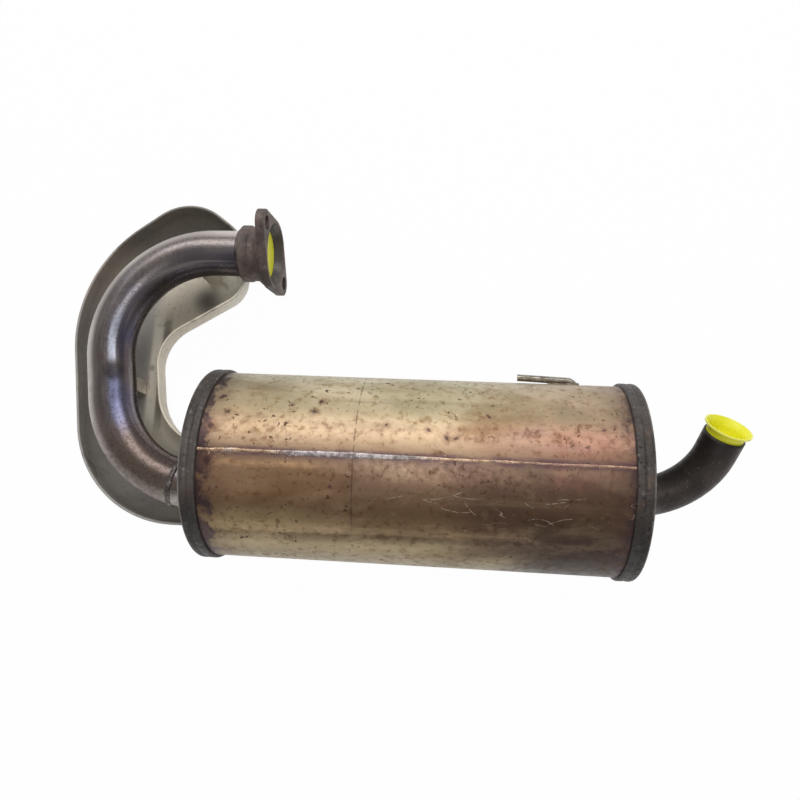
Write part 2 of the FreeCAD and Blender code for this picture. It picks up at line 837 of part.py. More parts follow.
def tail_cap():
    """The transit cap: a hollow plug in the tail pipe's mouth with a flared collar."""
    x, y, _ = tail_corners()[-1]
    run = Vector(SIZES["tail_run"], SIZES["tail_rise"], 0)
    turn = Rotation(AXIS_Z, math.degrees(math.atan2(run.y, run.x)))
    placement = tail_frame * Placement(Vector(x.value, y.value, 0), turn)
    wall = size("tail_cap_wall")
    grip = size("tail_cap_grip")
    high = size("tail_cap_height")
    lip = size("tail_cap_radius")
    neck = size("tail_cap_neck")
    flare = size("tail_cap_flare")
    lead = size("tail_cap_lead")
    corners = [
        (-grip, 0, 0),
        (-grip, tail_in, lead),
        (neck, tail_in, flare),
        (high - wall, lip - size("tail_cap_roll"), 0),
        (high - wall, lip, 0),
        (high, lip, 0),
        (high, lip - wall, 0),
        (neck, tail_in - wall, flare + wall),
        (-grip + wall, tail_in - wall, lead),
        (-grip + wall, 0, 0),
    ]
    return turned("tail_cap", placement, corners)


def pin_path(body, name):
    path = new_sketch(body, name, "XY_Plane")
    level = shell_r + size("pin_radius")
    outline(path, [
        (pin_start, level + size("pin_gap"), 0),
        (pin_bend, level + size("pin_seat_gap"), size("pin_bend_radius")),
        (pin_end, shell_r - size("pin_radius"), 0),
    ], closed=False)
    return path


def pin_frame():
    return drum_frame * Placement(Vector(), Rotation(AXIS_X, 90 - SIZES["pin_angle"]))


def clear_of_shell(body, name):
    """Trim a piece to the outside of the shell."""
    cut_holes(body, name, [(0, 0, shell_r)])


def hanger_pin():
    """The bent hanger rod, clear of the shell at its free end and bent down on to it."""
    body = new_body("hanger_pin", pin_frame())
    section = tube_section(
        body, "pin_section", pin_start,
        shell_r + size("pin_radius") + size("pin_gap"), size("pin_radius")
    )
    sweep(body, section, pin_path(body, "pin_path"))
    clear_of_shell(body, "pin_trim")
    return body


def hanger_pin_weld():
    """The weld along the rod's root, on both sides of it."""
    body = new_body("hanger_pin_weld", pin_frame())
    half = size("pin_weld_half")
    crown_half = size("pin_weld_crown_half")
    crown = shell_r + size("pin_weld_height")
    toe = shell_r + size("pin_weld_toe")
    toe_r = size("pin_weld_toe_radius")
    crown_r = size("pin_weld_radius")
    sketch = new_sketch(body, "pin_weld_section", "YZ_Plane", pin_weld_start)
    outline(sketch, [
        (shell_in, -half, 0),
        (toe, -half, toe_r),
        (crown, -crown_half, crown_r),
        (crown, crown_half, crown_r),
        (toe, half, toe_r),
        (shell_in, half, 0),
    ])
    pad(body, sketch, pin_end - pin_weld_start)
    section = tube_section(
        body, "pin_weld_bore", pin_start,
        shell_r + size("pin_radius") + size("pin_gap"), size("pin_radius")
    )
    sweep(body, section, pin_path(body, "pin_weld_path"), "SubtractivePipe")
    clear_of_shell(body, "pin_weld_trim")
    return body


def baffle(label, facing, holes):
    """A partition pressed with a flange that is spot welded inside the shell."""
    turn = Rotation(AXIS_Z, 180 if facing < 0 else 0)
    wall = size("baffle_wall")
    middle = size("baffle_from_middle")
    reach = middle + size("baffle_flange")
    press = size("press_radius")
    corners = [
        (middle, 0, 0),
        (middle, shell_in, press),
        (reach, shell_in, 0),
        (reach, shell_in - wall, 0),
        (middle + wall, shell_in - wall, press - wall),
        (middle + wall, 0, 0),
    ]
    body = turned(label, drum_frame * Placement(Vector(), turn), corners)
    cut_holes(body, label + "_holes", [(y * facing, z, radius) for y, z, radius in holes])
    return body


def perforated_tube(label, placement, start, stop, bore, first_hole):
    """A straight tube with rows of holes right through it."""
    body = tube(label, placement, start, stop, bore + size("sleeve_wall"), bore)
    sketch = new_sketch(body, label + "_row", "XY_Plane")
    for i in range(HOLES_PER_ROW):
        add_circle(sketch, first_hole + size("hole_pitch") * i, 0, size("hole_diameter") / 2)
    row = cut_through(body, sketch, size("shell_radius"))
    around = body.newObject("PartDesign::PolarPattern", label + "_rows")
    around.Originals = [row]
    around.Axis = (sketch, ["H_Axis"])
    around.Angle = 180 - 180 / HOLE_ROWS
    around.Occurrences = HOLE_ROWS
    body.Tip = around
    return body


def internals():
    sleeve_wall = size("sleeve_wall")
    inlet_sleeve = inlet_r + sleeve_wall
    tail_sleeve = tail_r + sleeve_wall
    crossover_r = size("crossover_od") / 2
    crossover = (size("crossover_y"), size("crossover_z"), crossover_r)
    middle = size("baffle_from_middle")
    stand = size("baffle_stand")
    cap_inside = plateau - size("cap_wall")
    inlet_hole = (size("inlet_y"), size("inlet_z"), inlet_sleeve)
    tail_hole = (size("tail_y"), size("tail_z"), tail_sleeve)
    baffle("inlet_baffle", -1, [inlet_hole, crossover])
    baffle("outlet_baffle", 1, [tail_hole, crossover])
    first = middle + size("baffle_flange") + size("hole_diameter")
    perforated_tube("inlet_perforated_tube", inlet_frame,
                    -cap_inside, -middle + stand, inlet_r,
                    -first - size("hole_pitch") * (HOLES_PER_ROW - 1))
    perforated_tube("outlet_perforated_tube", tail_frame,
                    middle - stand, cap_inside, tail_r, first)
    placement = drum_frame * Placement(
        Vector(0, SIZES["crossover_y"], SIZES["crossover_z"]), Rotation()
    )
    end = middle + size("baffle_flange") + stand
    tube("crossover_tube", placement, -end, end, crossover_r, crossover_r - sleeve_wall)


def build():
    drum_shell()
    shell_seam_weld()
    end_cap("inlet_end_cap", True, -size("inlet_y"), size("inlet_z"), inlet_r)
    end_cap("outlet_end_cap", False, size("tail_y"), size("tail_z"), tail_r)
    inlet_stub()
    stub_weld()
    inlet_pipe()
    inlet_joint_weld()
    inlet_flange()
    flange_weld()
    inlet_plug()
    heat_shield()
    shield_brackets()
    tail_pipe()
    tail_pipe_weld()
    tail_cap()
    hanger_pin()
    hanger_pin_weld()
    internals()
    doc.recompute()


def check():
    for item in doc.Objects:
        if "Invalid" in item.State or "Error" in item.State:
            raise RuntimeError(item.Label + " did not build")
    for body in bodies():
        if body.Shape.isNull() or not body.Shape.isValid():
            raise RuntimeError(body.Label + " has no valid shape")


def bodies():
    return [item for item in doc.Objects if item.TypeId == "PartDesign::Body"]


build()
check()
os.makedirs("parts", exist_ok=True)
for body in bodies():
    body.Shape.exportStep("parts/" + body.Label + ".step")
    print(body.Label, round(body.Shape.Volume), "mm3", len(body.Shape.Solids), "solid")
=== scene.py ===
import math
import random

import bpy
from mathutils import Matrix, Vector, noise


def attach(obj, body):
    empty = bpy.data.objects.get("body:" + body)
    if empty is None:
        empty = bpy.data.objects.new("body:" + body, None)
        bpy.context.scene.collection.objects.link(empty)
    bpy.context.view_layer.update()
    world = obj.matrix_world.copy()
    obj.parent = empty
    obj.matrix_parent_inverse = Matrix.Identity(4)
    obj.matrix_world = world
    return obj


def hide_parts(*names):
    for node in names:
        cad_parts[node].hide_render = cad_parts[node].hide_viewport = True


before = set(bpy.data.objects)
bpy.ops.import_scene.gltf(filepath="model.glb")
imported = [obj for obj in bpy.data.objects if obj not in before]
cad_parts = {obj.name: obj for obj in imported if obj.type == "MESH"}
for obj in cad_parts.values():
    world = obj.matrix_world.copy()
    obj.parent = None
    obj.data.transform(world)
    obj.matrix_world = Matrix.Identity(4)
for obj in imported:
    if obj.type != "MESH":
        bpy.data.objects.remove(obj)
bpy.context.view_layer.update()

# Places are in metres, in the frame of the CAD part: the origin is the middle of the inlet
# flange's face, +X runs along the drum, and +Z points away from the floor.
SHELL_R = 0.082
DRUM_START = -0.0433
DRUM_END = 0.3287
DRUM_MIDDLE = (0.1427, -0.19648, 0.02757)
SEAM_ANGLE = math.radians(13.0)
RIM_WIDTH = 0.0145
FLOOR_Z = -0.0572
# Walls that the pipes are welded to: the end caps' faces, measured from the drum's middle, and
# the back of the flange's hub, measured from the flange's face.
CAP_FACE = 0.181
HUB_BACK = 0.0303

# The inlet tube lies in a tilted plane. Places in it are measured from the plane's origin,
# and both bends have one radius.
INLET_ORIGIN = (0.1427, -0.217479, 0.037565)
INLET_TILT = math.radians(-9.8)
INLET_PLANE = Matrix.Translation(INLET_ORIGIN) @ Matrix.Rotation(INLET_TILT, 4, "X")
INLET_R = 0.0212
INLET_BORE_R = 0.0196
INLET_BEND = 0.092
STUB_START = -0.145
LOW_CENTRE = (-0.1945, INLET_BEND)
HIGH_CENTRE = (-0.2006, 0.1287)
PIPE_END = -0.1527
JOINT_SPOT = (-0.214, 0.0021)
JOINT_ANGLE = math.radians(12.2)
JOINT_TURN = -math.pi / 2 - JOINT_ANGLE

# The tail pipe lies in another tilted plane. It has one bend, and TAIL_STEP leads from the
# corner of its two straight runs to its mouth.
TAIL_ORIGIN = (0.1427, -0.20998, 0.02837)
TAIL_TILT = math.radians(27.9)
TAIL_PLANE = Matrix.Translation(TAIL_ORIGIN) @ Matrix.Rotation(TAIL_TILT, 4, "X")
TAIL_R = 0.01685
TAIL_BORE_R = 0.01535
TAIL_BEND = 0.065
TAIL_START = 0.151
TAIL_CORNER = 0.2356
TAIL_STEP = (0.0166, 0.0659)

# Weld beads: the fillets' legs and rise, and the ring weld's half width and rise.
FILLET_LEG = 0.0036
FILLET_RISE = 0.16 * FILLET_LEG
RING_HALF = 0.0025
RING_RISE = 0.0012
SPATTER_COUNT = 46

PHOTO_WIDTH = 800
FOCAL_PIXELS = 693.9
CAMERA_PLACE = (0.1785, -0.1334, 0.6455)
CAMERA_RIGHT = (0.99564, 0.03804, -0.08518)
CAMERA_UP = (-0.03790, 0.99928, 0.00324)
CAMERA_BACK = (0.08524, 0.0, 0.99636)

FLOOR_REACH = 6.0
FLOOR_GREY = 0.82
FLOOR_GLOW = 0.98
ROOM_LIGHT = 0.40
# Area lights: name, place, target, width, height and power in watts.
LIGHTS = [
    ("key_back", (0.12, 0.85, 0.85), (0.12, -0.12, 0.0), 1.8, 0.60, 10.5),
    ("near_camera", (0.15, -0.10, 0.85), (0.12, -0.13, 0.0), 0.34, 0.16, 0.95),
    ("fill_front", (0.15, -1.50, 0.35), (0.12, -0.12, 0.0), 1.8, 0.3, 3.0),
]


def linear(colour):
    """A colour as seen on a screen, 0 to 255, as linear light."""
    steps = [c / 255 for c in colour]
    return tuple(c / 12.92 if c <= 0.04045 else ((c + 0.055) / 1.055) ** 2.4 for c in steps) + (1.0,)


class Graph:
    """A short way to write a material's nodes. Masks run from nought to one."""

    def __init__(self, name, metallic):
        self.material = bpy.data.materials.new(name)
        self.material.use_nodes = True
        self.tree = self.material.node_tree
        self.tree.nodes.clear()
        output = self.tree.nodes.new("ShaderNodeOutputMaterial")
        self.shader = self.tree.nodes.new("ShaderNodeBsdfPrincipled")
        self.tree.links.new(self.shader.outputs["BSDF"], output.inputs["Surface"])
        self.shader.inputs["Metallic"].default_value = metallic
        self.place = self.node("ShaderNodeTexCoord").outputs["Object"]

    def node(self, kind, **settings):
        made = self.tree.nodes.new(kind)
        for key, value in settings.items():
            setattr(made, key, value)
        return made

    def feed(self, socket, value):
        """Link a node's output to the socket, or set the socket to a plain value."""
        if isinstance(value, bpy.types.NodeSocket):
            self.tree.links.new(value, socket)
        elif value is not None:
            socket.default_value = value

    def shade(self, name, value):
        self.feed(self.shader.inputs[name], value)

    def attribute(self, name):
        return self.node("ShaderNodeAttribute", attribute_name=name).outputs["Vector"]

    def math(self, operation, first, second=None):
        made = self.node("ShaderNodeMath", operation=operation)
        self.feed(made.inputs[0], first)
        self.feed(made.inputs[1], second)
        return made.outputs[0]

    def add(self, first, second):
        return self.math("ADD", first, second)

    def most(self, first, second):
        return self.math("MAXIMUM", first, second)

    def times(self, *factors):
        total = factors[0]
        for factor in factors[1:]:
            total = self.math("MULTIPLY", total, factor)
        return total

    def vector_math(self, operation, first, second):
        made = self.node("ShaderNodeVectorMath", operation=operation)
        self.feed(made.inputs[0], first)
        self.feed(made.inputs[1], second)
        return made

    def shift(self, vector, amount):
        return self.vector_math("SUBTRACT", vector, amount).outputs["Vector"]

    def stretch(self, vector, scale):
        return self.vector_math("MULTIPLY", vector, scale).outputs["Vector"]

    def dot(self, vector, direction):
        return self.vector_math("DOT_PRODUCT", vector, direction).outputs["Value"]

    def distance(self, spot, place=None):
        return self.vector_math("DISTANCE", place or self.place, spot).outputs["Value"]

    def split(self, vector):
        made = self.node("ShaderNodeSeparateXYZ")
        self.feed(made.inputs[0], vector)
        return made.outputs[0], made.outputs[1], made.outputs[2]

    def join(self, x, y):
        made = self.node("ShaderNodeCombineXYZ")
        self.feed(made.inputs[0], x)
        self.feed(made.inputs[1], y)
        return made.outputs[0]

    def noise_node(self, vector, scale, detail):
        made = self.node("ShaderNodeTexNoise")
        self.feed(made.inputs["Vector"], vector)
        made.inputs["Scale"].default_value = scale
        made.inputs["Detail"].default_value = detail
        return made

    def noise(self, vector, scale, detail=4.0, rough=0.55, twist=0.0):
        made = self.noise_node(vector, scale, detail)
        made.inputs["Roughness"].default_value = rough
        made.inputs["Distortion"].default_value = twist
        return made.outputs["Fac"]

    def cells(self, vector, scale):
        made = self.node("ShaderNodeTexVoronoi")
        self.feed(made.inputs["Vector"], vector)
        made.inputs["Scale"].default_value = scale
        return made.outputs["Distance"]

    def fit(self, value, low, high, start=0.0, end=1.0):
        """A smooth step from start, at low and beyond it, to end, at high and beyond it.
        Low may be the larger of the two."""
        made = self.node("ShaderNodeMapRange", interpolation_type="SMOOTHSTEP")
        self.feed(made.inputs["Value"], value)
        for name, number in (("From Min", low), ("From Max", high), ("To Min", start), ("To Max", end)):
            made.inputs[name].default_value = number
        return made.outputs["Result"]

    def band(self, value, middle, half, soft=0.5):
        """One where the value lies within half of the middle."""
        off = self.math("ABSOLUTE", self.add(value, -middle))
        return self.fit(off, half * (1 - soft), half * (1 + soft), 1.0, 0.0)

    def near(self, spot, radius, soft=0.5, place=None):
        """One inside the ball round the spot, nought outside it."""
        return self.fit(self.distance(spot, place), radius * (1 - soft), radius * (1 + soft), 1.0, 0.0)

    def jitter(self, value, pattern, reach):
        """The value pushed either way by a noise, for uneven edges."""
        return self.add(value, self.times(self.add(pattern, -0.5), reach))

    def warp(self, vector, scale, reach):
        """The vector pushed about by a noise."""
        push = self.shift(self.noise_node(vector, scale, 3.0).outputs["Color"], (0.5, 0.5, 0.5))
        return self.vector_math("ADD", vector, self.stretch(push, (reach, reach, reach))).outputs["Vector"]

    def ramp(self, value, stops):
        made = self.node("ShaderNodeValToRGB")
        self.feed(made.inputs["Fac"], value)
        ramp = made.color_ramp
        while len(ramp.elements) < len(stops):
            ramp.elements.new(1.0)
        for element, (place, colour) in zip(ramp.elements, stops):
            element.position = place
            element.color = linear(colour)
        return made.outputs["Color"]

    def mix(self, amount, under, over, blend="MIX"):
        made = self.node("ShaderNodeMix", data_type="RGBA", blend_type=blend, clamp_factor=True)
        self.feed(made.inputs[0], amount)
        self.feed(made.inputs[6], under)
        self.feed(made.inputs[7], linear(over) if isinstance(over, tuple) else over)
        return made.outputs[2]

    def tint(self, base, mask, share, colour):
        """The base with a share of the colour where the mask is one."""
        return self.mix(self.times(mask, share), base, colour)

    def bump(self, height, depth, strength, under=None):
        made = self.node("ShaderNodeBump")
        made.inputs["Strength"].default_value = strength
        made.inputs["Distance"].default_value = depth
        self.feed(made.inputs["Height"], height)
        self.feed(made.inputs["Normal"], under)
        return made.outputs["Normal"]


# Heat tints round the shell, with painted light in them: the bright band turned towards +Y is a
# painted highlight, and the dark band and the paler band below it, turned towards -Y, are painted
# shade and a painted reflection. The place is a share of a full turn: a half is straight up, and
# less is towards the low edge in the picture.
SHELL_TONES_AND_LIGHT = [
    (0.20, (96, 84, 66)), (0.30, (146, 132, 108)), (0.378, (156, 140, 110)), (0.404, (93, 78, 57)),
    (0.428, (120, 98, 72)), (0.452, (115, 90, 66)), (0.475, (134, 106, 82)), (0.511, (132, 106, 88)),
    (0.527, (132, 108, 94)), (0.548, (174, 145, 118)), (0.580, (184, 160, 131)), (0.611, (200, 182, 148)),
    (0.645, (216, 200, 168)), (0.694, (202, 191, 164)), (0.78, (160, 150, 128)), (0.86, (96, 88, 74)),
]
# Dark spots on the shell: place along it from its middle, angle in degrees, radius.
SHELL_SPOTS = [
    (-0.081, 38.5, 0.0028), (-0.076, 46.0, 0.0021), (-0.152, 36.0, 0.0026), (-0.163, 27.0, 0.0034),
    (-0.162, 7.0, 0.0046), (-0.160, 48.0, 0.0030), (0.027, 25.5, 0.0026), (0.035, 25.0, 0.0022),
    (-0.021, 31.5, 0.0019), (0.012, 29.0, 0.0021), (-0.062, -5.0, 0.0018), (-0.100, 43.0, 0.0016),
    (0.060, 40.0, 0.0016), (0.148, 33.0, 0.0018),
]
# Pale scratches on the unrolled shell: middle along it and round it in degrees, heading in
# degrees, length, and radius of the curve.
SCRATCHES = [
    (0.026, -8.0, 14.0, 0.030, 0.060), (0.044, -7.5, -4.0, 0.018, 0.090),
    (0.046, -13.0, -52.0, 0.016, 0.020), (0.036, -15.5, -6.0, 0.022, 0.040),
    (0.016, -10.5, -14.0, 0.012, 0.050), (0.103, -17.5, -12.0, 0.020, -0.018),
    (0.116, -17.5, 18.0, 0.018, -0.040), (0.124, -5.5, 4.0, 0.020, 0.100),
    (0.050, -55.0, 8.0, 0.016, 0.060), (-0.012, -9.0, 12.0, 0.014, 0.070),
    (0.092, -10.0, -30.0, 0.008, 0.030), (0.112, -8.0, 9.0, 0.014, 0.060),
]


class Shell:
    """Places and noises that the layers of the drum shell's look share."""

    def __init__(self, g):
        self.local = g.shift(g.place, DRUM_MIDDLE)
        self.x, y, z = g.split(self.local)
        self.angle = g.math("ARCTAN2", y, z)
        self.streaks = g.noise(g.stretch(self.local, (3.0, 60.0, 60.0)), 1.0, 5.0)
        self.cloud = g.noise(self.local, 14.0, 5.0, rough=0.6, twist=0.6)
        self.broad = g.noise(g.stretch(self.local, (9.0, 20.0, 20.0)), 1.0, 4.0, twist=0.5)
        self.fine = g.noise(self.local, 160.0, 4.0, rough=0.65)
        self.mottle = g.noise(g.stretch(self.local, (0.7, 1.0, 1.0)), 62.0, 6.0, rough=0.62, twist=0.5)
        self.uneven_angle = g.jitter(self.angle, self.cloud, 0.5)
        self.uneven_x = g.jitter(self.x, self.broad, 0.06)


def shell_patches(g, shell, base):
    """Large patches that darken, lighten or tint the shell; those towards the outlet and the lilac
    one are heat tint. The pale patch just below the seam on the left is a painted highlight, and
    the patches high on the left and on the right dim the painted highlight of the tones. Left and
    right are as the camera sees the drum, and angles are in radians from straight up."""
    x, angle = shell.uneven_x, shell.uneven_angle
    darker = g.times(g.fit(x, 0.015, 0.065), g.fit(angle, 0.30, 0.05), g.fit(angle, -0.95, -0.70))
    base = g.tint(base, darker, 0.66, (78, 57, 48))
    low_right = g.times(g.fit(x, 0.060, 0.120), g.fit(angle, -0.25, -0.60))
    base = g.tint(base, low_right, 0.8, (54, 40, 34))
    # Dims the painted highlight high on the left, with a warm tint.
    left_high = g.times(g.fit(x, -0.075, -0.135), g.band(angle, 0.70, 0.34))
    base = g.tint(base, left_high, 0.3, (140, 108, 74))
    # Painted highlight: lighter just below the seam on the left.
    painted_light_left_low = g.times(g.fit(x, -0.030, -0.090), g.band(angle, -0.02, 0.20, 0.7))
    base = g.tint(base, painted_light_left_low, 0.5, (176, 142, 108))
    to_outlet = g.times(g.fit(shell.x, 0.02, 0.14), g.fit(angle, -0.1, 0.2))
    base = g.tint(base, to_outlet, g.fit(shell.cloud, 0.35, 0.62, 0.25, 0.65), (148, 104, 92))
    # Dims the painted highlight on the right, with a warm tint.
    warm_right = g.times(g.fit(x, 0.02, 0.07), g.band(angle, 0.42, 0.22, 0.7))
    base = g.tint(base, warm_right, 0.45, (140, 98, 80))
    lilac = g.times(g.fit(shell.x, 0.05, 0.12), g.band(angle, 0.33, 0.16))
    base = g.tint(base, lilac, g.fit(shell.broad, 0.45, 0.6, 0.0, 0.45), (150, 116, 134))
    inlet_low = g.times(g.fit(shell.x, -0.04, -0.12), g.band(angle, -0.46, 0.16))
    base = g.tint(base, inlet_low, 0.6, (158, 138, 102))
    return base, low_right


def shell_mottling(g, shell, base):
    """Clouding, streaks and fine grain over the whole shell."""
    base = g.mix(g.fit(shell.mottle, 0.50, 0.74, 0.0, 0.34), base, (196, 178, 156), "MULTIPLY")
    base = g.mix(g.fit(shell.mottle, 0.46, 0.28, 0.0, 0.14), base, (204, 180, 144))
    base = g.mix(g.fit(shell.broad, 0.52, 0.66, 0.0, 0.55), base, (190, 176, 146), "MULTIPLY")
    base = g.tint(base, g.fit(shell.broad, 0.45, 0.34), 0.18, (196, 174, 140))
    olive = g.times(g.fit(shell.angle, 0.5, 0.8), g.fit(shell.cloud, 0.45, 0.62))
    base = g.tint(base, olive, 0.35, (168, 164, 128))
    base = g.mix(g.fit(shell.streaks, 0.57, 0.75, 0.0, 0.18), base, (196, 172, 138))
    base = g.mix(g.fit(shell.streaks, 0.42, 0.28, 0.0, 0.20), base, (84, 66, 50))
    return g.mix(g.fit(shell.fine, 0.50, 0.72, 0.0, 0.70), base, (190, 164, 140), "MULTIPLY")


def shell_seam_tints_and_glint(g, shell, base):
    """The heat mark along the seam, a painted highlight as a gold line below it, and a faint dark hoop."""
    heat_mark = g.band(shell.angle, SEAM_ANGLE, 0.046, 0.6)
    base = g.tint(base, heat_mark, g.fit(shell.mottle, 0.36, 0.58, 0.35, 0.95), (104, 80, 82))
    # Painted highlight: a gold line just below the seam on the left.
    painted_glint_line = g.times(g.band(shell.angle, 0.110, 0.030, 0.9),
                        g.fit(shell.x, -0.172, -0.150), g.fit(shell.x, -0.04, -0.10))
    base = g.tint(base, painted_glint_line, g.fit(shell.mottle, 0.60, 0.44, 0.15, 0.6), (214, 170, 126))
    hoop = g.times(g.band(shell.x, -0.0455, 0.0006, 0.6),
                   g.fit(shell.angle, -0.6, -0.4), g.fit(shell.fine, 0.36, 0.52))
    return g.tint(base, hoop, 0.5, (70, 52, 44))


def shell_ends(g, shell, base, low_right):
    """Darker ends, a darker low right, and soot that creeps in from both rims."""
    edge = g.jitter(g.math("ABSOLUTE", shell.x), shell.cloud, 0.03)
    base = g.mix(g.fit(edge, 0.142, 0.176, 0.0, 0.55), base, (92, 66, 60))
    base = g.tint(base, low_right, 0.55, (50, 37, 32))
    soot = g.noise(g.stretch(shell.local, (90.0, 70.0, 70.0)), 1.0, 5.0, rough=0.65, twist=0.4)
    at_inlet = g.fit(g.jitter(g.times(shell.x, -1.0), soot, 0.060), 0.160, 0.170)
    at_outlet = g.fit(g.jitter(shell.x, soot, 0.045), 0.163, 0.174, 0.0, 0.75)
    return g.tint(base, g.most(at_inlet, at_outlet), 0.85, (64, 50, 56))


def shell_pits(g, shell, base):
    """Small pits and brown crust, with the masks that shape the surface too."""
    pitted = g.fit(g.noise(shell.local, 17.0, 2.0), 0.40, 0.58, 0.15, 1.0)
    pit = g.times(g.fit(g.noise(shell.local, 230.0, 2.0, rough=0.5, twist=0.4), 0.655, 0.69), pitted)
    base = g.tint(base, pit, 0.8, (74, 52, 40))
    crusty = g.fit(g.noise(shell.local, 11.0, 1.0), 0.46, 0.60)
    crust = g.times(g.fit(g.noise(shell.local, 84.0, 5.0, rough=0.66, twist=0.5), 0.625, 0.68), crusty)
    base = g.tint(base, crust, 0.55, (112, 82, 60))
    return base, pit, crust


def shell_spots(g, shell, base):
    """The larger dark spots, each with a brown halo."""
    ragged = g.warp(g.warp(shell.local, 90.0, 0.006), 320.0, 0.004)
    for place_x, degrees, radius in SHELL_SPOTS:
        turn = math.radians(degrees)
        spot = (place_x, SHELL_R * math.sin(turn), SHELL_R * math.cos(turn))
        base = g.tint(base, g.near(spot, radius * 1.6, 0.6, ragged), 0.5, (126, 92, 74))
        base = g.tint(base, g.near(spot, radius * 0.75, 0.5, ragged), 0.8, (66, 48, 50))
    return base


def shell_scratches(g, shell, base):
    """Pale arcs on the unrolled shell, and thin wandering scuffs towards the outlet."""
    flat = g.warp(g.join(shell.x, g.times(shell.angle, SHELL_R)), 60.0, 0.0014)
    marks = 0.0
    for place_x, degrees, heading, length, curve in SCRATCHES:
        lean = math.radians(heading)
        place_y = math.radians(degrees) * SHELL_R
        centre = (place_x - math.sin(lean) * curve, place_y + math.cos(lean) * curve, 0.0)
        line = g.times(g.band(g.distance(centre, flat), abs(curve), 0.00030, 0.8),
                       g.near((place_x, place_y, 0.0), length / 2, 0.15, flat))
        marks = g.most(marks, line)
    worn_marks = g.times(marks, g.fit(g.noise(shell.local, 300.0, 3.0), 0.40, 0.56, 0.1, 1.0))
    loose = g.noise(g.stretch(shell.local, (1.0, 2.4, 2.4)), 26.0, 1.0, rough=0.4, twist=1.2)
    broken = g.fit(g.noise(shell.local, 48.0, 3.0), 0.56, 0.61)
    scuffs = g.times(g.band(loose, 0.5, 0.005), broken, g.fit(shell.x, 0.0, 0.05),
                     g.fit(shell.angle, 0.02, -0.12), g.fit(shell.angle, -0.85, -0.5))
    return g.tint(base, g.most(worn_marks, g.times(scuffs, 0.8)), 0.6, (196, 180, 160))


def drum_material():
    g = Graph("drum_looks", metallic=0.82)
    shell = Shell(g)
    around = g.jitter(g.add(g.times(shell.angle, 1 / math.tau), 0.5), shell.streaks, 0.03)
    base, low_right = shell_patches(g, shell, g.ramp(around, SHELL_TONES_AND_LIGHT))
    base = shell_mottling(g, shell, base)
    base = shell_seam_tints_and_glint(g, shell, base)
    base = shell_ends(g, shell, base, low_right)
    base, pit, crust = shell_pits(g, shell, base)
    base = shell_spots(g, shell, base)
    g.shade("Base Color", shell_scratches(g, shell, base))
    rough = g.fit(shell.fine, 0.3, 0.7, 0.36, 0.50)
    g.shade("Roughness", g.add(rough, g.times(g.most(pit, crust), 0.22)))
    dents = g.bump(g.noise(g.stretch(shell.local, (6.0, 14.0, 14.0)), 1.0, 2.0), 0.004, 0.35)
    grain = g.bump(shell.streaks, 0.0006, 0.3, dents)
    holes = g.times(g.most(pit, g.times(crust, 0.4)), -1.0)
    g.shade("Normal", g.bump(holes, 0.0004, 0.6, grain))
    return g.material


def rim_material():
    g = Graph("rim_looks", metallic=0.55)
    local = g.shift(g.place, DRUM_MIDDLE)
    x, y, z = g.split(local)
    cloud = g.noise(local, 30.0, 5.0, rough=0.6, twist=0.3)
    fine = g.noise(local, 260.0, 5.0, rough=0.7)
    base = g.ramp(cloud, [(0.30, (58, 53, 50)), (0.50, (82, 76, 73)), (0.62, (96, 88, 84)),
                          (0.75, (78, 66, 58))])
    base = g.mix(g.fit(fine, 0.55, 0.7, 0.0, 0.6), base, (52, 42, 38))
    pitted = g.fit(g.noise(local, 26.0, 2.0), 0.45, 0.6)
    pit = g.times(g.fit(g.cells(local, 240.0), 0.12, 0.3, 1.0, 0.0), pitted)
    base = g.tint(base, pit, 0.8, (44, 33, 28))
    rust = g.fit(g.noise(local, 48.0, 4.0, rough=0.6), 0.58, 0.7, 0.0, 0.45)
    base = g.mix(rust, base, (104, 76, 58))
    bright = g.fit(g.noise(local, 150.0, 5.0, rough=0.7), 0.58, 0.68, 0.0, 0.6)
    base = g.mix(bright, base, (142, 136, 132))
    # Painted shade: darker towards the rims' lower side.
    low = g.fit(g.math("ARCTAN2", y, z), -0.05, -0.45)
    base = g.tint(base, low, 0.62, (34, 31, 29))
    fold = g.band(g.math("ABSOLUTE", x), 0.1853, 0.0013)
    base = g.tint(base, fold, g.fit(cloud, 0.38, 0.55, 0.15, 0.6), (148, 142, 138))
    g.shade("Base Color", base)
    g.shade("Roughness", g.fit(fine, 0.3, 0.7, 0.42, 0.66))
    dents = g.bump(g.noise(local, 34.0, 2.0), 0.002, 0.4)
    g.shade("Normal", g.bump(g.add(fine, g.times(pit, -1.2)), 0.0004, 0.6, dents))
    return g.material


# Tones across the pipe, from the inner side of its bends at nought to the outer side at one:
# darker towards the inner side, with a painted highlight towards the outer side.
PIPE_TONES_AND_LIGHT = [
    (0.02, (72, 64, 62)), (0.14, (84, 77, 78)), (0.28, (104, 99, 104)), (0.44, (114, 107, 108)),
    (0.56, (122, 114, 113)), (0.66, (134, 125, 122)), (0.78, (196, 188, 183)), (0.90, (206, 198, 192)),
    (1.0, (160, 150, 143)),
]
# Lengthwise bands of painted highlights and painted shade: start and stop along the pipe, middle
# and half width as shares of its radius, colour and share.
PIPE_LIGHT_BANDS = [
    (0.085, 0.290, 0.04, 0.26, (92, 83, 82), 0.65),
    (0.142, 0.196, -0.44, 0.20, (206, 210, 224), 0.85),
    (0.070, 0.128, -0.50, 0.30, (140, 146, 184), 0.75),
    (0.210, 0.290, 0.22, 0.16, (176, 172, 176), 0.6),
    (0.142, 0.200, -0.76, 0.14, (64, 62, 78), 0.6),
    (0.205, 0.300, -0.45, 0.40, (66, 60, 58), 0.6),
    (0.300, 0.370, -0.60, 0.34, (52, 52, 66), 0.6),
]
BAND_FADE = 0.012
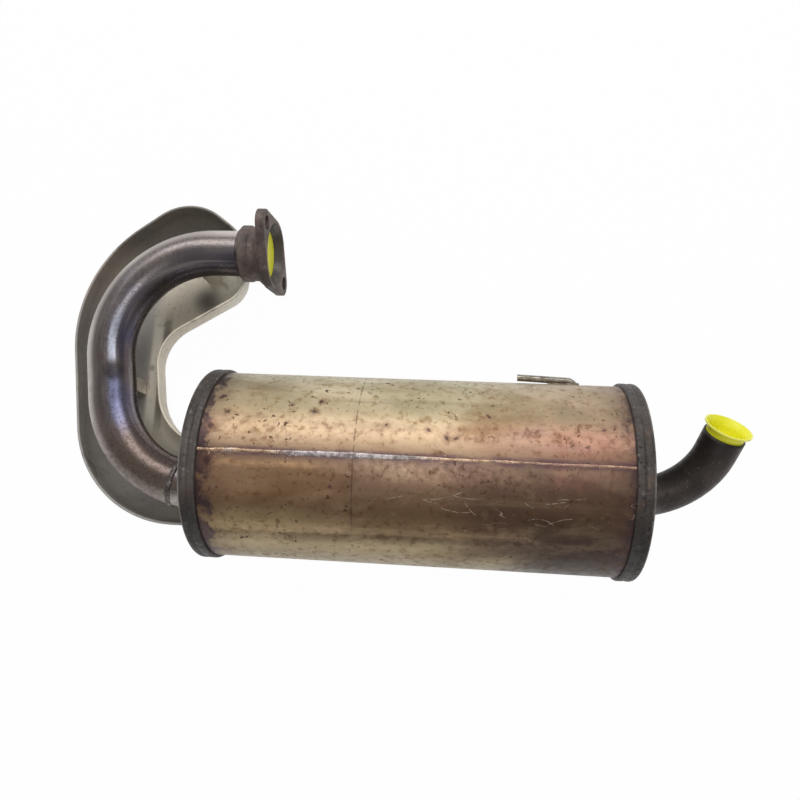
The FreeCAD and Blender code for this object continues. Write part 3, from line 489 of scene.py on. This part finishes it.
# Heat tints on the pipe, and last a small painted dark reflection where the leg meets its lower
# bend: place, radius, colour and share.
PIPE_TINTS_AND_REFLECTION = [
    ((-0.150, -0.045, 0.02), 0.030, (132, 124, 124), 0.5),
    ((-0.090, 0.000, 0.02), 0.040, (138, 128, 122), 0.5),
    ((-0.075, -0.016, 0.00), 0.026, (50, 50, 68), 0.6),
    ((-0.118, -0.085, 0.02), 0.020, (84, 80, 106), 0.35),
    ((-0.112, -0.150, 0.03), 0.024, (108, 104, 128), 0.40),
    ((-0.135, -0.116, 0.04), 0.009, (46, 38, 36), 0.75),
]


def pipe_material():
    g = Graph("pipe_looks", metallic=0.85)
    lay = g.attribute("lay")
    along, outward, _ = g.split(lay)
    side = g.times(outward, 1 / INLET_R)
    streaks = g.noise(g.stretch(lay, (6.0, 130.0, 130.0)), 1.0, 5.0)
    cloud = g.noise(lay, 22.0, 4.0, rough=0.6, twist=0.5)
    fine = g.noise(lay, 260.0, 4.0, rough=0.65)
    wavy = g.jitter(side, streaks, 0.25)
    # Tones across the pipe, with their painted highlight.
    base = g.ramp(g.add(g.times(wavy, 0.5), 0.5), PIPE_TONES_AND_LIGHT)
    base = g.mix(g.fit(cloud, 0.45, 0.7, 0.0, 0.45), base, (128, 112, 104))
    # Painted highlights and painted shade in bands along the pipe.
    for start, stop, middle, half, colour, share in PIPE_LIGHT_BANDS:
        light_stripe = g.times(g.band(wavy, middle, half * 0.7, 0.43),
                         g.fit(along, start - BAND_FADE, start + BAND_FADE),
                         g.fit(along, stop + BAND_FADE, stop - BAND_FADE))
        base = g.tint(base, light_stripe, share, colour)
    blue = g.times(g.fit(side, 0.0, -0.4), g.fit(g.noise(lay, 16.0, 2.0), 0.42, 0.60, 0.05, 0.42))
    base = g.mix(blue, base, (86, 86, 108))
    for spot, radius, colour, share in PIPE_TINTS_AND_REFLECTION:
        base = g.tint(base, g.near(spot, radius), share, colour)
    near_drum = g.near((-0.105, -0.205, 0.04), 0.044, 0.5)
    base = g.tint(base, near_drum, 0.7, (108, 93, 82))
    base = g.tint(base, near_drum, g.fit(fine, 0.42, 0.66, 0.0, 0.55), (92, 72, 60))
    specks = g.times(g.fit(g.cells(lay, 380.0), 0.14, 0.3, 1.0, 0.0), g.near((-0.1, -0.20, 0.04), 0.07))
    base = g.tint(base, specks, 0.7, (44, 34, 30))
    base = g.mix(g.fit(streaks, 0.56, 0.72, 0.0, 0.45), base, (172, 165, 163))
    g.shade("Base Color", base)
    outer_edge = g.band(side, 0.70, 0.26)
    g.shade("Metallic", g.add(g.times(outer_edge, -0.45), 0.85))
    g.shade("Roughness", g.add(g.fit(fine, 0.3, 0.75, 0.23, 0.38), g.times(outer_edge, 0.15)))
    g.shade("Normal", g.bump(fine, 0.00015, 0.5, g.bump(streaks, 0.0005, 0.35)))
    return g.material


# Marks on the heat shield: place, radius, softness, share and colour. The first is a painted lit
# patch on the shield's round lobe, the second painted shade from the pipe beside it, and the last
# two are stains.
SHIELD_STAINS_AND_LIGHT = [
    ((-0.050, -0.030, -0.030), 0.026, 0.5, 0.90, (244, 238, 224)),
    ((-0.082, -0.038, -0.035), 0.015, 0.5, 0.85, (52, 47, 43)),
    ((-0.165, -0.015, -0.020), 0.030, 0.7, 0.22, (140, 106, 66)),
    ((-0.185, -0.060, -0.020), 0.030, 0.7, 0.16, (118, 86, 70)),
]


def shield_material():
    g = Graph("shield_looks", metallic=0.3)
    x, y, _ = g.split(g.place)
    cloud = g.noise(g.place, 13.0, 5.0, rough=0.6, twist=0.5)
    fine = g.noise(g.place, 240.0, 4.0, rough=0.65)
    base = g.ramp(cloud, [(0.32, (154, 150, 145)), (0.48, (173, 168, 163)), (0.62, (181, 175, 167)),
                          (0.75, (160, 154, 146))])
    # Paler inside the gutter right of the leg: partly the steel's own pale tan, partly painted light.
    tan = g.times(g.fit(x, -0.145, -0.122), g.fit(y, -0.215, -0.185))
    base = g.tint(base, tan, 0.9, (224, 214, 194))
    # Painted light: a bright strip on the gutter's floor beside the leg, then painted shade in a dark band
    # on its steep wall.
    beside_leg = g.times(g.fit(y, -0.185, -0.150), g.fit(y, -0.045, -0.080))
    base = g.tint(base, g.band(x, -0.1295, 0.0055), beside_leg, (252, 243, 226))
    base = g.tint(base, g.times(g.band(x, -0.1205, 0.0040), beside_leg), 0.75, (110, 100, 86))
    far_end = g.fit(g.jitter(y, cloud, 0.04), -0.012, 0.024)
    base = g.tint(base, far_end, 0.85, (112, 108, 103))
    for spot, radius, soft, share, colour in SHIELD_STAINS_AND_LIGHT:
        base = g.tint(base, g.near(spot, radius, soft), share, colour)
    base = g.mix(g.fit(fine, 0.55, 0.75, 0.0, 0.35), base, (70, 62, 52))
    stain = g.fit(g.noise(g.place, 40.0, 3.0, rough=0.5, twist=0.6), 0.60, 0.72)
    base = g.tint(base, stain, 0.4, (64, 54, 46))
    g.shade("Base Color", base)
    g.shade("Roughness", g.fit(fine, 0.3, 0.75, 0.36, 0.5))
    dents = g.bump(g.noise(g.place, 26.0, 2.0), 0.002, 0.3)
    g.shade("Normal", g.bump(fine, 0.0002, 0.4, dents))
    return g.material


def flange_material():
    g = Graph("flange_looks", metallic=0.5)
    x, y, z = g.split(g.place)
    cloud = g.noise(g.place, 60.0, 5.0, rough=0.6, twist=0.4)
    fine = g.noise(g.place, 520.0, 4.0, rough=0.7)
    base = g.ramp(cloud, [(0.32, (70, 61, 57)), (0.5, (98, 87, 82)), (0.6, (114, 99, 92)),
                          (0.74, (88, 66, 58))])
    base = g.mix(g.fit(fine, 0.55, 0.72, 0.0, 0.6), base, (58, 46, 40))
    worn = g.fit(g.noise(g.place, 150.0, 3.0), 0.62, 0.72, 0.0, 0.55)
    base = g.mix(worn, base, (138, 128, 122))
    off_axis = g.math("SQRT", g.add(g.times(y, y), g.times(z, z)))
    seat = g.times(g.fit(off_axis, 0.0288, 0.0280), g.fit(x, -0.0105, -0.0095))
    base = g.tint(base, seat, 0.8, (86, 84, 80))
    g.shade("Base Color", base)
    g.shade("Roughness", g.add(g.fit(fine, 0.3, 0.7, 0.5, 0.72), g.times(seat, -0.25)))
    dents = g.bump(g.noise(g.place, 90.0, 3.0), 0.0012, 0.5)
    g.shade("Normal", g.bump(fine, 0.0003, 0.6, dents))
    return g.material


def tail_material():
    g = Graph("tail_looks", metallic=0.55)
    lay = g.attribute("lay")
    along, _, _ = g.split(lay)
    cloud = g.noise(lay, 30.0, 4.0, rough=0.6, twist=0.4)
    fine = g.noise(lay, 320.0, 4.0, rough=0.65)
    base = g.ramp(cloud, [(0.32, (44, 38, 36)), (0.52, (58, 51, 48)), (0.68, (72, 64, 60))])
    # Painted sheen near where the tail pipe leaves the drum.
    painted_sheen = g.times(g.fit(along, 0.062, 0.030), g.fit(cloud, 0.35, 0.6, 0.4, 0.9))
    base = g.mix(painted_sheen, base, (152, 150, 152))
    specks = g.times(g.fit(g.cells(lay, 230.0), 0.06, 0.14, 1.0, 0.0), g.fit(cloud, 0.45, 0.6))
    base = g.tint(base, specks, 0.7, (150, 146, 138))
    base = g.mix(g.fit(fine, 0.55, 0.72, 0.0, 0.5), base, (36, 30, 28))
    g.shade("Base Color", base)
    g.shade("Roughness", g.fit(fine, 0.3, 0.7, 0.38, 0.56))
    g.shade("Normal", g.bump(g.add(fine, g.times(cloud, 0.8)), 0.0004, 0.5))
    return g.material


def weld_material(name, low, middle, high):
    g = Graph(name, metallic=0.7)
    cloud = g.noise(g.place, 120.0, 4.0, rough=0.6, twist=0.3)
    fine = g.noise(g.place, 700.0, 3.0, rough=0.6)
    base = g.ramp(cloud, [(0.34, low), (0.5, middle), (0.66, high)])
    g.shade("Base Color", g.mix(g.fit(fine, 0.55, 0.7, 0.0, 0.5), base, low))
    g.shade("Roughness", g.fit(fine, 0.3, 0.7, 0.34, 0.55))
    g.shade("Normal", g.bump(g.add(cloud, g.times(fine, 0.5)), 0.0006, 0.5))
    return g.material


def seam_material():
    g = Graph("seam_looks", metallic=0.75)
    x, _, _ = g.split(g.shift(g.place, DRUM_MIDDLE))
    patchy = g.noise(g.stretch(g.place, (1.0, 2.0, 2.0)), 55.0, 4.0, rough=0.65)
    fine = g.noise(g.place, 500.0, 3.0, rough=0.6)
    lumps = g.noise(g.place, 190.0, 4.0, rough=0.6)
    gold = g.ramp(lumps, [(0.35, (138, 110, 88)), (0.65, (206, 176, 146))])
    grey = g.ramp(lumps, [(0.35, (118, 111, 111)), (0.65, (190, 184, 186))])
    middle_part = g.times(g.fit(x, -0.120, -0.090), g.fit(x, 0.030, -0.010))
    greyness = g.most(g.times(middle_part, 0.9), g.fit(patchy, 0.56, 0.68, 0.0, 0.7))
    base = g.mix(greyness, gold, grey)
    base = g.tint(base, g.fit(x, 0.05, 0.12), 0.65, (156, 120, 108))
    base = g.mix(g.fit(patchy, 0.46, 0.36, 0.0, 0.55), base, (92, 74, 68))
    g.shade("Base Color", base)
    g.shade("Roughness", g.fit(fine, 0.3, 0.7, 0.28, 0.5))
    g.shade("Normal", g.bump(fine, 0.0003, 0.5))
    return g.material


def rod_material():
    g = Graph("rod_looks", metallic=0.85)
    local = g.shift(g.place, DRUM_MIDDLE)
    fine = g.noise(g.stretch(local, (0.5, 1.0, 1.0)), 520.0, 4.0, rough=0.6)
    cloud = g.noise(local, 130.0, 3.0)
    base = g.ramp(cloud, [(0.35, (112, 104, 92)), (0.55, (150, 144, 134)), (0.7, (176, 172, 164))])
    g.shade("Base Color", g.mix(g.fit(fine, 0.56, 0.7, 0.0, 0.6), base, (84, 68, 52)))
    g.shade("Roughness", g.fit(fine, 0.3, 0.7, 0.24, 0.42))
    g.shade("Normal", g.bump(fine, 0.0002, 0.5))
    return g.material


def inner_material():
    g = Graph("inner_looks", metallic=0.7)
    cloud = g.noise(g.place, 40.0, 4.0)
    g.shade("Base Color", g.ramp(cloud, [(0.35, (84, 76, 68)), (0.65, (118, 108, 98))]))
    g.shade("Roughness", g.fit(cloud, 0.3, 0.7, 0.4, 0.6))
    return g.material


def plastic_material():
    """Yellow plastic, scuffed, with a painted highlight on the lip of the tail pipe's cap."""
    g = Graph("plug_looks", metallic=0.0)
    cloud = g.noise(g.place, 90.0, 3.0)
    fine = g.noise(g.place, 900.0, 2.0)
    base = g.ramp(cloud, [(0.35, (235, 232, 40)), (0.65, (242, 239, 58))])
    scuff = g.fit(g.noise(g.place, 420.0, 4.0, rough=0.7), 0.66, 0.76, 0.0, 0.35)
    base = g.mix(scuff, base, (178, 170, 40))
    mouth = TAIL_PLANE @ Vector((TAIL_CORNER + TAIL_STEP[0], TAIL_STEP[1], 0.0))
    run = (mouth - TAIL_PLANE @ Vector((TAIL_CORNER, 0.0, 0.0))).normalized()
    along = g.dot(g.shift(g.place, mouth), run)
    away = g.distance(mouth)
    off_axis = g.math("SQRT", g.add(g.times(away, away), g.times(along, along, -1.0)))
    # Painted highlight on the cap's lip.
    lip_highlight = g.times(g.fit(off_axis, 0.0176, 0.0186), g.near(mouth, 0.03, 0.2))
    g.shade("Base Color", g.tint(base, lip_highlight, 0.6, (248, 244, 130)))
    g.shade("Roughness", g.fit(fine, 0.3, 0.7, 0.36, 0.46))
    g.shade("Normal", g.bump(fine, 0.00006, 0.4))
    g.shade("Subsurface Weight", 0.12)
    g.shade("Subsurface Radius", (0.004, 0.004, 0.001))
    return g.material


def dress(node, material):
    """Give a CAD node's own slots a material."""
    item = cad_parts[node]
    if not item.material_slots:
        item.data.materials.append(material)
    for slot in item.material_slots:
        slot.material = material


def mesh_piece(name, vertices, faces, material):
    mesh = bpy.data.meshes.new(name)
    mesh.from_pydata([tuple(v) for v in vertices], [], faces)
    mesh.validate()
    mesh.update()
    for polygon in mesh.polygons:
        polygon.use_smooth = True
    piece = bpy.data.objects.new(name, mesh)
    bpy.context.scene.collection.objects.link(piece)
    mesh.materials.append(material)
    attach(piece, "root")
    return piece


def arc_points(centre, radius, start, stop, steps):
    turns = [start + (stop - start) * i / steps for i in range(steps + 1)]
    return [Vector((centre[0] + radius * math.cos(t), centre[1] + radius * math.sin(t))) for t in turns]


def line_points(first, last, steps):
    """Even steps from the first point up to the last, which is left out."""
    return [Vector(first).lerp(Vector(last), i / steps) for i in range(steps)]


def stub_path():
    """The inlet tube's middle line from inside the drum to the ring weld."""
    return (line_points((STUB_START, 0.0), (LOW_CENTRE[0], 0.0), 8)
            + arc_points(LOW_CENTRE, INLET_BEND, -math.pi / 2, JOINT_TURN, 8))


def pipe_path():
    """The inlet tube's middle line from the ring weld, round both bends, to the flange."""
    lean = math.atan2(HIGH_CENTRE[0] - LOW_CENTRE[0], HIGH_CENTRE[1] - LOW_CENTRE[1])
    leg = -math.pi - lean
    top = HIGH_CENTRE[1] + INLET_BEND
    lower = arc_points(LOW_CENTRE, INLET_BEND, JOINT_TURN, leg, 48)
    upper = arc_points(HIGH_CENTRE, INLET_BEND, leg, -math.pi * 1.5, 56)
    run = line_points((HIGH_CENTRE[0], top), (PIPE_END, top), 12)[1:]
    return lower + upper + run + [Vector((PIPE_END, top))]


def tail_path():
    """The tail pipe's middle line from inside the drum, round its bend, to its mouth."""
    turn = math.atan2(TAIL_STEP[1], TAIL_STEP[0])
    centre = (TAIL_CORNER - TAIL_BEND * math.tan(turn / 2), TAIL_BEND)
    mouth = Vector((TAIL_CORNER + TAIL_STEP[0], TAIL_STEP[1]))
    path = line_points((TAIL_START, 0.0), (centre[0], 0.0), 8)
    path += arc_points(centre, TAIL_BEND, -math.pi / 2, -math.pi / 2 + turn, 40)
    return path + line_points(path[-1], mouth, 6)[1:] + [mouth]


def bent_tube(name, path, plane, outer, bore, material, around=96):
    """A tube along a path in a plane, with its walls closed at both ends.
    The lay attribute holds the place along the tube and the place across it."""
    count = len(path)
    normals = []
    length = [0.0]
    for i, point in enumerate(path):
        before = path[max(i - 1, 0)]
        after = path[min(i + 1, count - 1)]
        run = (after - before).normalized()
        normals.append(Vector((-run.y, run.x)))
        if i:
            length.append(length[-1] + (point - path[i - 1]).length)
    vertices, lays, faces = [], [], []
    for radius in (outer, bore):
        for i, point in enumerate(path):
            for k in range(around):
                turn = math.tau * k / around
                across = math.cos(turn) * radius
                lift = math.sin(turn) * radius
                flat = point + normals[i] * across
                vertices.append(plane @ Vector((flat.x, flat.y, lift)))
                lays.append((length[i], across, lift))
    wall = count * around
    for i in range(count - 1):
        for k in range(around):
            n = (k + 1) % around
            a, b, c, d = i * around + k, i * around + n, (i + 1) * around + n, (i + 1) * around + k
            faces.append((a, b, c, d))
            faces.append((wall + d, wall + c, wall + b, wall + a))
    for i in (0, count - 1):
        for k in range(around):
            n = (k + 1) % around
            a, b = i * around + k, i * around + n
            quad = (a, wall + a, wall + b, b)
            faces.append(quad if i == 0 else quad[::-1])
    piece = mesh_piece(name, vertices, faces, material)
    lay = piece.data.attributes.new("lay", "FLOAT_VECTOR", "POINT")
    for item, value in zip(lay.data, lays):
        item.vector = value
    return piece


def ripple(turn, share, scales, seed):
    """How full a weld bead is at a place round it: overlapping scales and slow waves."""
    scale = abs(math.sin(turn * scales / 2 + 1.2 * share))
    slow = noise.noise(Vector((math.cos(turn) * 2.0, math.sin(turn) * 2.0, seed)))
    quick = noise.noise(Vector((math.cos(turn) * 11.0, math.sin(turn) * 11.0, seed + share * 2.0)))
    return 0.80 + 0.16 * scale + 0.18 * slow + 0.10 * quick


def ring_bead(name, node, place, root, tip, crown, rise, material, scales, seed, around=360, across=10):
    """A weld bead round the X axis of a placed frame, from root to tip as (place along X, radius).
    The bead stands out from the line between them along crown."""
    vertices, faces = [], []
    row = across + 1
    for k in range(around):
        turn = math.tau * k / around
        for j in range(row):
            share = j / across
            swell = 4 * share * (1 - share) * rise * ripple(turn, share, scales, seed)
            x = root[0] + (tip[0] - root[0]) * share + crown[0] * swell
            r = root[1] + (tip[1] - root[1]) * share + crown[1] * swell
            vertices.append(place @ Vector((x, r * math.cos(turn), r * math.sin(turn))))
    under = len(vertices)
    corner_x, corner_r = min(root[0], tip[0]), min(root[1], tip[1])
    for k in range(around):
        turn = math.tau * k / around
        vertices.append(place @ Vector((corner_x, corner_r * math.cos(turn), corner_r * math.sin(turn))))
    flat = abs(root[1] - tip[1]) < 1e-6
    for k in range(around):
        n = (k + 1) % around
        for j in range(across):
            faces.append((k * row + j, k * row + j + 1, n * row + j + 1, n * row + j))
        if flat:
            faces.append((k * row + across, k * row, n * row, n * row + across))
        else:
            faces.append((k * row + across, under + k, under + n, n * row + across))
            faces.append((under + k, k * row, n * row, under + n))
    piece = mesh_piece(name, vertices, faces, material)
    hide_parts(node)


def shell_point(x, angle, radius=SHELL_R):
    """A point at x, off the drum's axis by the radius, turned from straight up towards +Y."""
    across, up = radius * math.sin(angle), radius * math.cos(angle)
    return Vector((x, DRUM_MIDDLE[1] + across, DRUM_MIDDLE[2] + up))


def seam_row(x, across):
    """The points across the seam's bead at x. The bead is uneven in width and height."""
    widest, highest, lowest, scale_pitch = 0.0024, 0.00060, 0.00012, 0.0021
    slow = noise.noise(Vector((x * 45.0, 3.1, 0.0)))
    quick = noise.noise(Vector((x * 320.0, 7.7, 0.0)))
    wander = 0.0005 * noise.noise(Vector((x * 28.0, 1.3, 4.0)))
    full = math.exp(-(((x - 0.090) / 0.055) ** 4)) + 0.7 * math.exp(-(((x + 0.004) / 0.012) ** 4))
    half = widest * (0.46 + 0.48 * min(full, 1.0) + 0.16 * slow + 0.10 * quick)
    scale = abs(math.sin(x * math.pi / scale_pitch))
    lump = max(0.0, noise.noise(Vector((x * 110.0, 9.4, 2.0))) - 0.25)
    rise = highest * (0.35 + 0.25 * min(full, 1.0) + 0.22 * scale + 0.30 * slow + 0.9 * lump)
    points = []
    for j in range(across + 1):
        share = 2 * j / across - 1
        angle = SEAM_ANGLE + (wander + share * half) / SHELL_R
        points.append(shell_point(x, angle, SHELL_R + max(rise, lowest) * (1 - share * share)))
    return points


def seam_bead(material):
    """The lengthwise bead on the shell, with its underside sunk a little into the sheet."""
    steps, across, sunk = 900, 10, 0.0003
    start, stop = DRUM_START + RIM_WIDTH, DRUM_END - RIM_WIDTH
    row = across + 1
    vertices, faces = [], []
    for i in range(steps + 1):
        vertices += seam_row(start + (stop - start) * i / steps, across)
    count = len(vertices)
    for i in range(steps + 1):
        for j in (0, across):
            top = vertices[i * row + j]
            spoke = Vector((0.0, top.y - DRUM_MIDDLE[1], top.z - DRUM_MIDDLE[2])).normalized()
            vertices.append(top - spoke * sunk)
    for i in range(steps):
        for j in range(across):
            a = i * row + j
            faces.append((a, a + row, a + row + 1, a + 1))
        low, high = count + 2 * i, count + 2 * i + 1
        faces.append((i * row, low, low + 2, (i + 1) * row))
        faces.append((i * row + across, (i + 1) * row + across, high + 2, high))
        faces.append((low, high, high + 2, low + 2))
    for i in (0, steps):
        ring = [i * row + j for j in range(row)] + [count + 2 * i + 1, count + 2 * i]
        faces.append(tuple(ring if i == 0 else ring[::-1]))
    piece = mesh_piece("seam_bead", vertices, faces, material)
    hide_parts("shell_seam_weld")


def add_drop(vertices, faces, foot, spoke, size):
    """A closed drop of weld metal on the shell, a little longer along the drum than across it."""
    sides, levels, longer, flatter = 10, 4, 1.3, 0.7
    side = Vector((1.0, 0.0, 0.0))
    cross = spoke.cross(side)
    first = len(vertices)
    for level in range(levels):
        lift = math.pi / 2 * level / levels
        for k in range(sides):
            turn = math.tau * k / sides
            flat = side * math.cos(turn) * longer + cross * math.sin(turn)
            vertices.append(foot + flat * size * math.cos(lift) + spoke * size * flatter * math.sin(lift))
    vertices.append(foot + spoke * size * flatter)
    peak = len(vertices) - 1
    for level in range(levels - 1):
        for k in range(sides):
            n = (k + 1) % sides
            a = first + level * sides
            faces.append((a + k, a + n, a + sides + n, a + sides + k))
    last = first + (levels - 1) * sides
    for k in range(sides):
        faces.append((last + k, last + (k + 1) % sides, peak))
    faces.append(tuple(first + k for k in reversed(range(sides))))


def spatter(material):
    """Drops of weld metal beside the seam, closest together round its short thick place."""
    rng = random.Random(11)
    vertices, faces = [], []
    for _ in range(SPATTER_COUNT):
        stretch = (-0.020, 0.002) if rng.random() < 0.4 else (0.03, 0.24)
        x = rng.uniform(*stretch)
        angle = SEAM_ANGLE + rng.choice((-1, 1)) * abs(rng.gauss(0.045, 0.02))
        size = rng.uniform(0.00025, 0.0007)
        spoke = Vector((0.0, math.sin(angle), math.cos(angle)))
        add_drop(vertices, faces, shell_point(x, angle), spoke, size)
    mesh_piece("seam_spatter", vertices, faces, material)


drum_looks = drum_material()
rim_looks = rim_material()
pipe_looks = pipe_material()
shield_looks = shield_material()
flange_looks = flange_material()
tail_looks = tail_material()
seam_looks = seam_material()
ring_looks = weld_material("ring_weld_looks", (52, 44, 42), (92, 84, 80), (140, 134, 130))
dark_weld_looks = weld_material("dark_weld_looks", (40, 34, 32), (70, 62, 58), (128, 120, 112))
rod_weld_looks = weld_material("rod_weld_looks", (84, 70, 56), (118, 102, 84), (160, 150, 134))
rod_looks = rod_material()
inner_looks = inner_material()
plug_looks = plastic_material()

for node_name, looks in {
    "drum_shell": drum_looks,
    "inlet_end_cap": rim_looks,
    "outlet_end_cap": rim_looks,
    "inlet_flange": flange_looks,
    "inlet_plug": plug_looks,
    "tail_cap": plug_looks,
    "heat_shield": shield_looks,
    "shield_bracket_leg": shield_looks,
    "shield_bracket_top": shield_looks,
    "hanger_pin": rod_looks,
    "hanger_pin_weld": rod_weld_looks,
    "shell_seam_weld": seam_looks,
    "inlet_stub_weld": dark_weld_looks,
    "inlet_joint_weld": ring_looks,
    "flange_weld": ring_looks,
    "tail_pipe_weld": dark_weld_looks,
    "inlet_baffle": inner_looks,
    "outlet_baffle": inner_looks,
    "inlet_perforated_tube": inner_looks,
    "outlet_perforated_tube": inner_looks,
    "crossover_tube": inner_looks,
}.items():
    dress(node_name, looks)

stub = bent_tube("stub_tube", stub_path(), INLET_PLANE, INLET_R, INLET_BORE_R, pipe_looks)
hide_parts("inlet_stub")
pipe = bent_tube("bent_pipe", pipe_path(), INLET_PLANE, INLET_R, INLET_BORE_R, pipe_looks)
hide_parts("inlet_pipe")
tail = bent_tube("tail_tube", tail_path(), TAIL_PLANE, TAIL_R, TAIL_BORE_R, tail_looks, 80)
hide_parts("tail_pipe")

seam_bead(seam_looks)
spatter(seam_looks)
joint_place = (INLET_PLANE @ Matrix.Translation((*JOINT_SPOT, 0.0))
               @ Matrix.Rotation(math.pi - JOINT_ANGLE, 4, "Z"))
ring_bead("ring_bead", "inlet_joint_weld", joint_place, (-RING_HALF, INLET_R), (RING_HALF, INLET_R),
          (0.0, 1.0), RING_RISE, ring_looks, scales=44, seed=2.0)
half_turn = Matrix.Rotation(math.pi, 4, "Z")
# Fillet beads: name, CAD node, placed frame, wall's place along X, tube's radius, looks and seed.
for bead_name, bead_node, placed, face, radius, looks, seed in (
        ("flange_bead", "flange_weld", half_turn, HUB_BACK, INLET_R, ring_looks, 5.0),
        ("stub_bead", "inlet_stub_weld", INLET_PLANE @ half_turn, CAP_FACE, INLET_R, dark_weld_looks, 8.0),
        ("tail_bead", "tail_pipe_weld", TAIL_PLANE, CAP_FACE, TAIL_R, dark_weld_looks, 12.0)):
    ring_bead(bead_name, bead_node, placed, (face, radius + FILLET_LEG), (face + FILLET_LEG, radius),
              (math.sqrt(0.5), math.sqrt(0.5)), FILLET_RISE, looks, scales=40, seed=seed)


def set_camera():
    lens = bpy.data.cameras.new("photo_camera")
    lens.sensor_width = 36.0
    lens.lens = FOCAL_PIXELS / PHOTO_WIDTH * lens.sensor_width
    lens.clip_start = 0.01
    lens.clip_end = 20.0
    camera = bpy.data.objects.new("photo_camera", lens)
    turn = Matrix((CAMERA_RIGHT, CAMERA_UP, CAMERA_BACK)).transposed()
    camera.matrix_world = Matrix.Translation(CAMERA_PLACE) @ turn.to_4x4()
    bpy.context.scene.collection.objects.link(camera)
    bpy.context.scene.camera = camera


def seen_rays(tree):
    """One for the camera and for what gloss and clear things show."""
    path = tree.nodes.new("ShaderNodeLightPath")
    total = path.outputs["Is Camera Ray"]
    for name in ("Is Glossy Ray", "Is Transmission Ray"):
        both = tree.nodes.new("ShaderNodeMath")
        both.operation = "MAXIMUM"
        tree.links.new(total, both.inputs[0])
        tree.links.new(path.outputs[name], both.inputs[1])
        total = both.outputs[0]
    return total


def set_floor():
    """A plain white floor that takes only a faint shadow."""
    corners = [(-FLOOR_REACH, -FLOOR_REACH), (FLOOR_REACH, -FLOOR_REACH),
               (FLOOR_REACH, FLOOR_REACH), (-FLOOR_REACH, FLOOR_REACH)]
    mesh = bpy.data.meshes.new("floor")
    mesh.from_pydata([(x, y, FLOOR_Z) for x, y in corners], [], [(0, 1, 2, 3)])
    floor = bpy.data.objects.new("floor", mesh)
    bpy.context.scene.collection.objects.link(floor)
    material = bpy.data.materials.new("floor_looks")
    material.use_nodes = True
    tree = material.node_tree
    tree.nodes.clear()
    output = tree.nodes.new("ShaderNodeOutputMaterial")
    matt = tree.nodes.new("ShaderNodeBsdfDiffuse")
    matt.inputs["Color"].default_value = (FLOOR_GREY, FLOOR_GREY, FLOOR_GREY, 1)
    glow = tree.nodes.new("ShaderNodeEmission")
    glow.inputs["Color"].default_value = (1, 1, 1, 1)
    blend = tree.nodes.new("ShaderNodeMixShader")
    share = tree.nodes.new("ShaderNodeMath")
    share.operation = "MULTIPLY"
    share.inputs[1].default_value = FLOOR_GLOW
    tree.links.new(seen_rays(tree), share.inputs[0])
    tree.links.new(share.outputs[0], blend.inputs[0])
    tree.links.new(matt.outputs[0], blend.inputs[1])
    tree.links.new(glow.outputs[0], blend.inputs[2])
    tree.links.new(blend.outputs[0], output.inputs["Surface"])
    mesh.materials.append(material)


def set_world():
    """White behind everything, and an even grey light all round."""
    world = bpy.data.worlds.new("studio")
    world.use_nodes = True
    tree = world.node_tree
    tree.nodes.clear()
    output = tree.nodes.new("ShaderNodeOutputWorld")
    room = tree.nodes.new("ShaderNodeBackground")
    room.inputs["Color"].default_value = (ROOM_LIGHT, ROOM_LIGHT, ROOM_LIGHT, 1)
    back = tree.nodes.new("ShaderNodeBackground")
    back.inputs["Color"].default_value = (1, 1, 1, 1)
    blend = tree.nodes.new("ShaderNodeMixShader")
    path = tree.nodes.new("ShaderNodeLightPath")
    tree.links.new(path.outputs["Is Camera Ray"], blend.inputs[0])
    tree.links.new(room.outputs[0], blend.inputs[1])
    tree.links.new(back.outputs[0], blend.inputs[2])
    tree.links.new(blend.outputs[0], output.inputs["Surface"])
    bpy.context.scene.world = world


def area_light(name, place, target, width, height, power):
    lamp = bpy.data.lights.new(name, "AREA")
    lamp.shape = "RECTANGLE"
    lamp.size = width
    lamp.size_y = height
    lamp.energy = power
    item = bpy.data.objects.new(name, lamp)
    item.location = place
    item.rotation_euler = (Vector(target) - Vector(place)).to_track_quat("-Z", "Y").to_euler()
    bpy.context.scene.collection.objects.link(item)


set_camera()
set_floor()
set_world()
for light in LIGHTS:
    area_light(*light)

bpy.context.scene.view_settings.view_transform = "Standard"
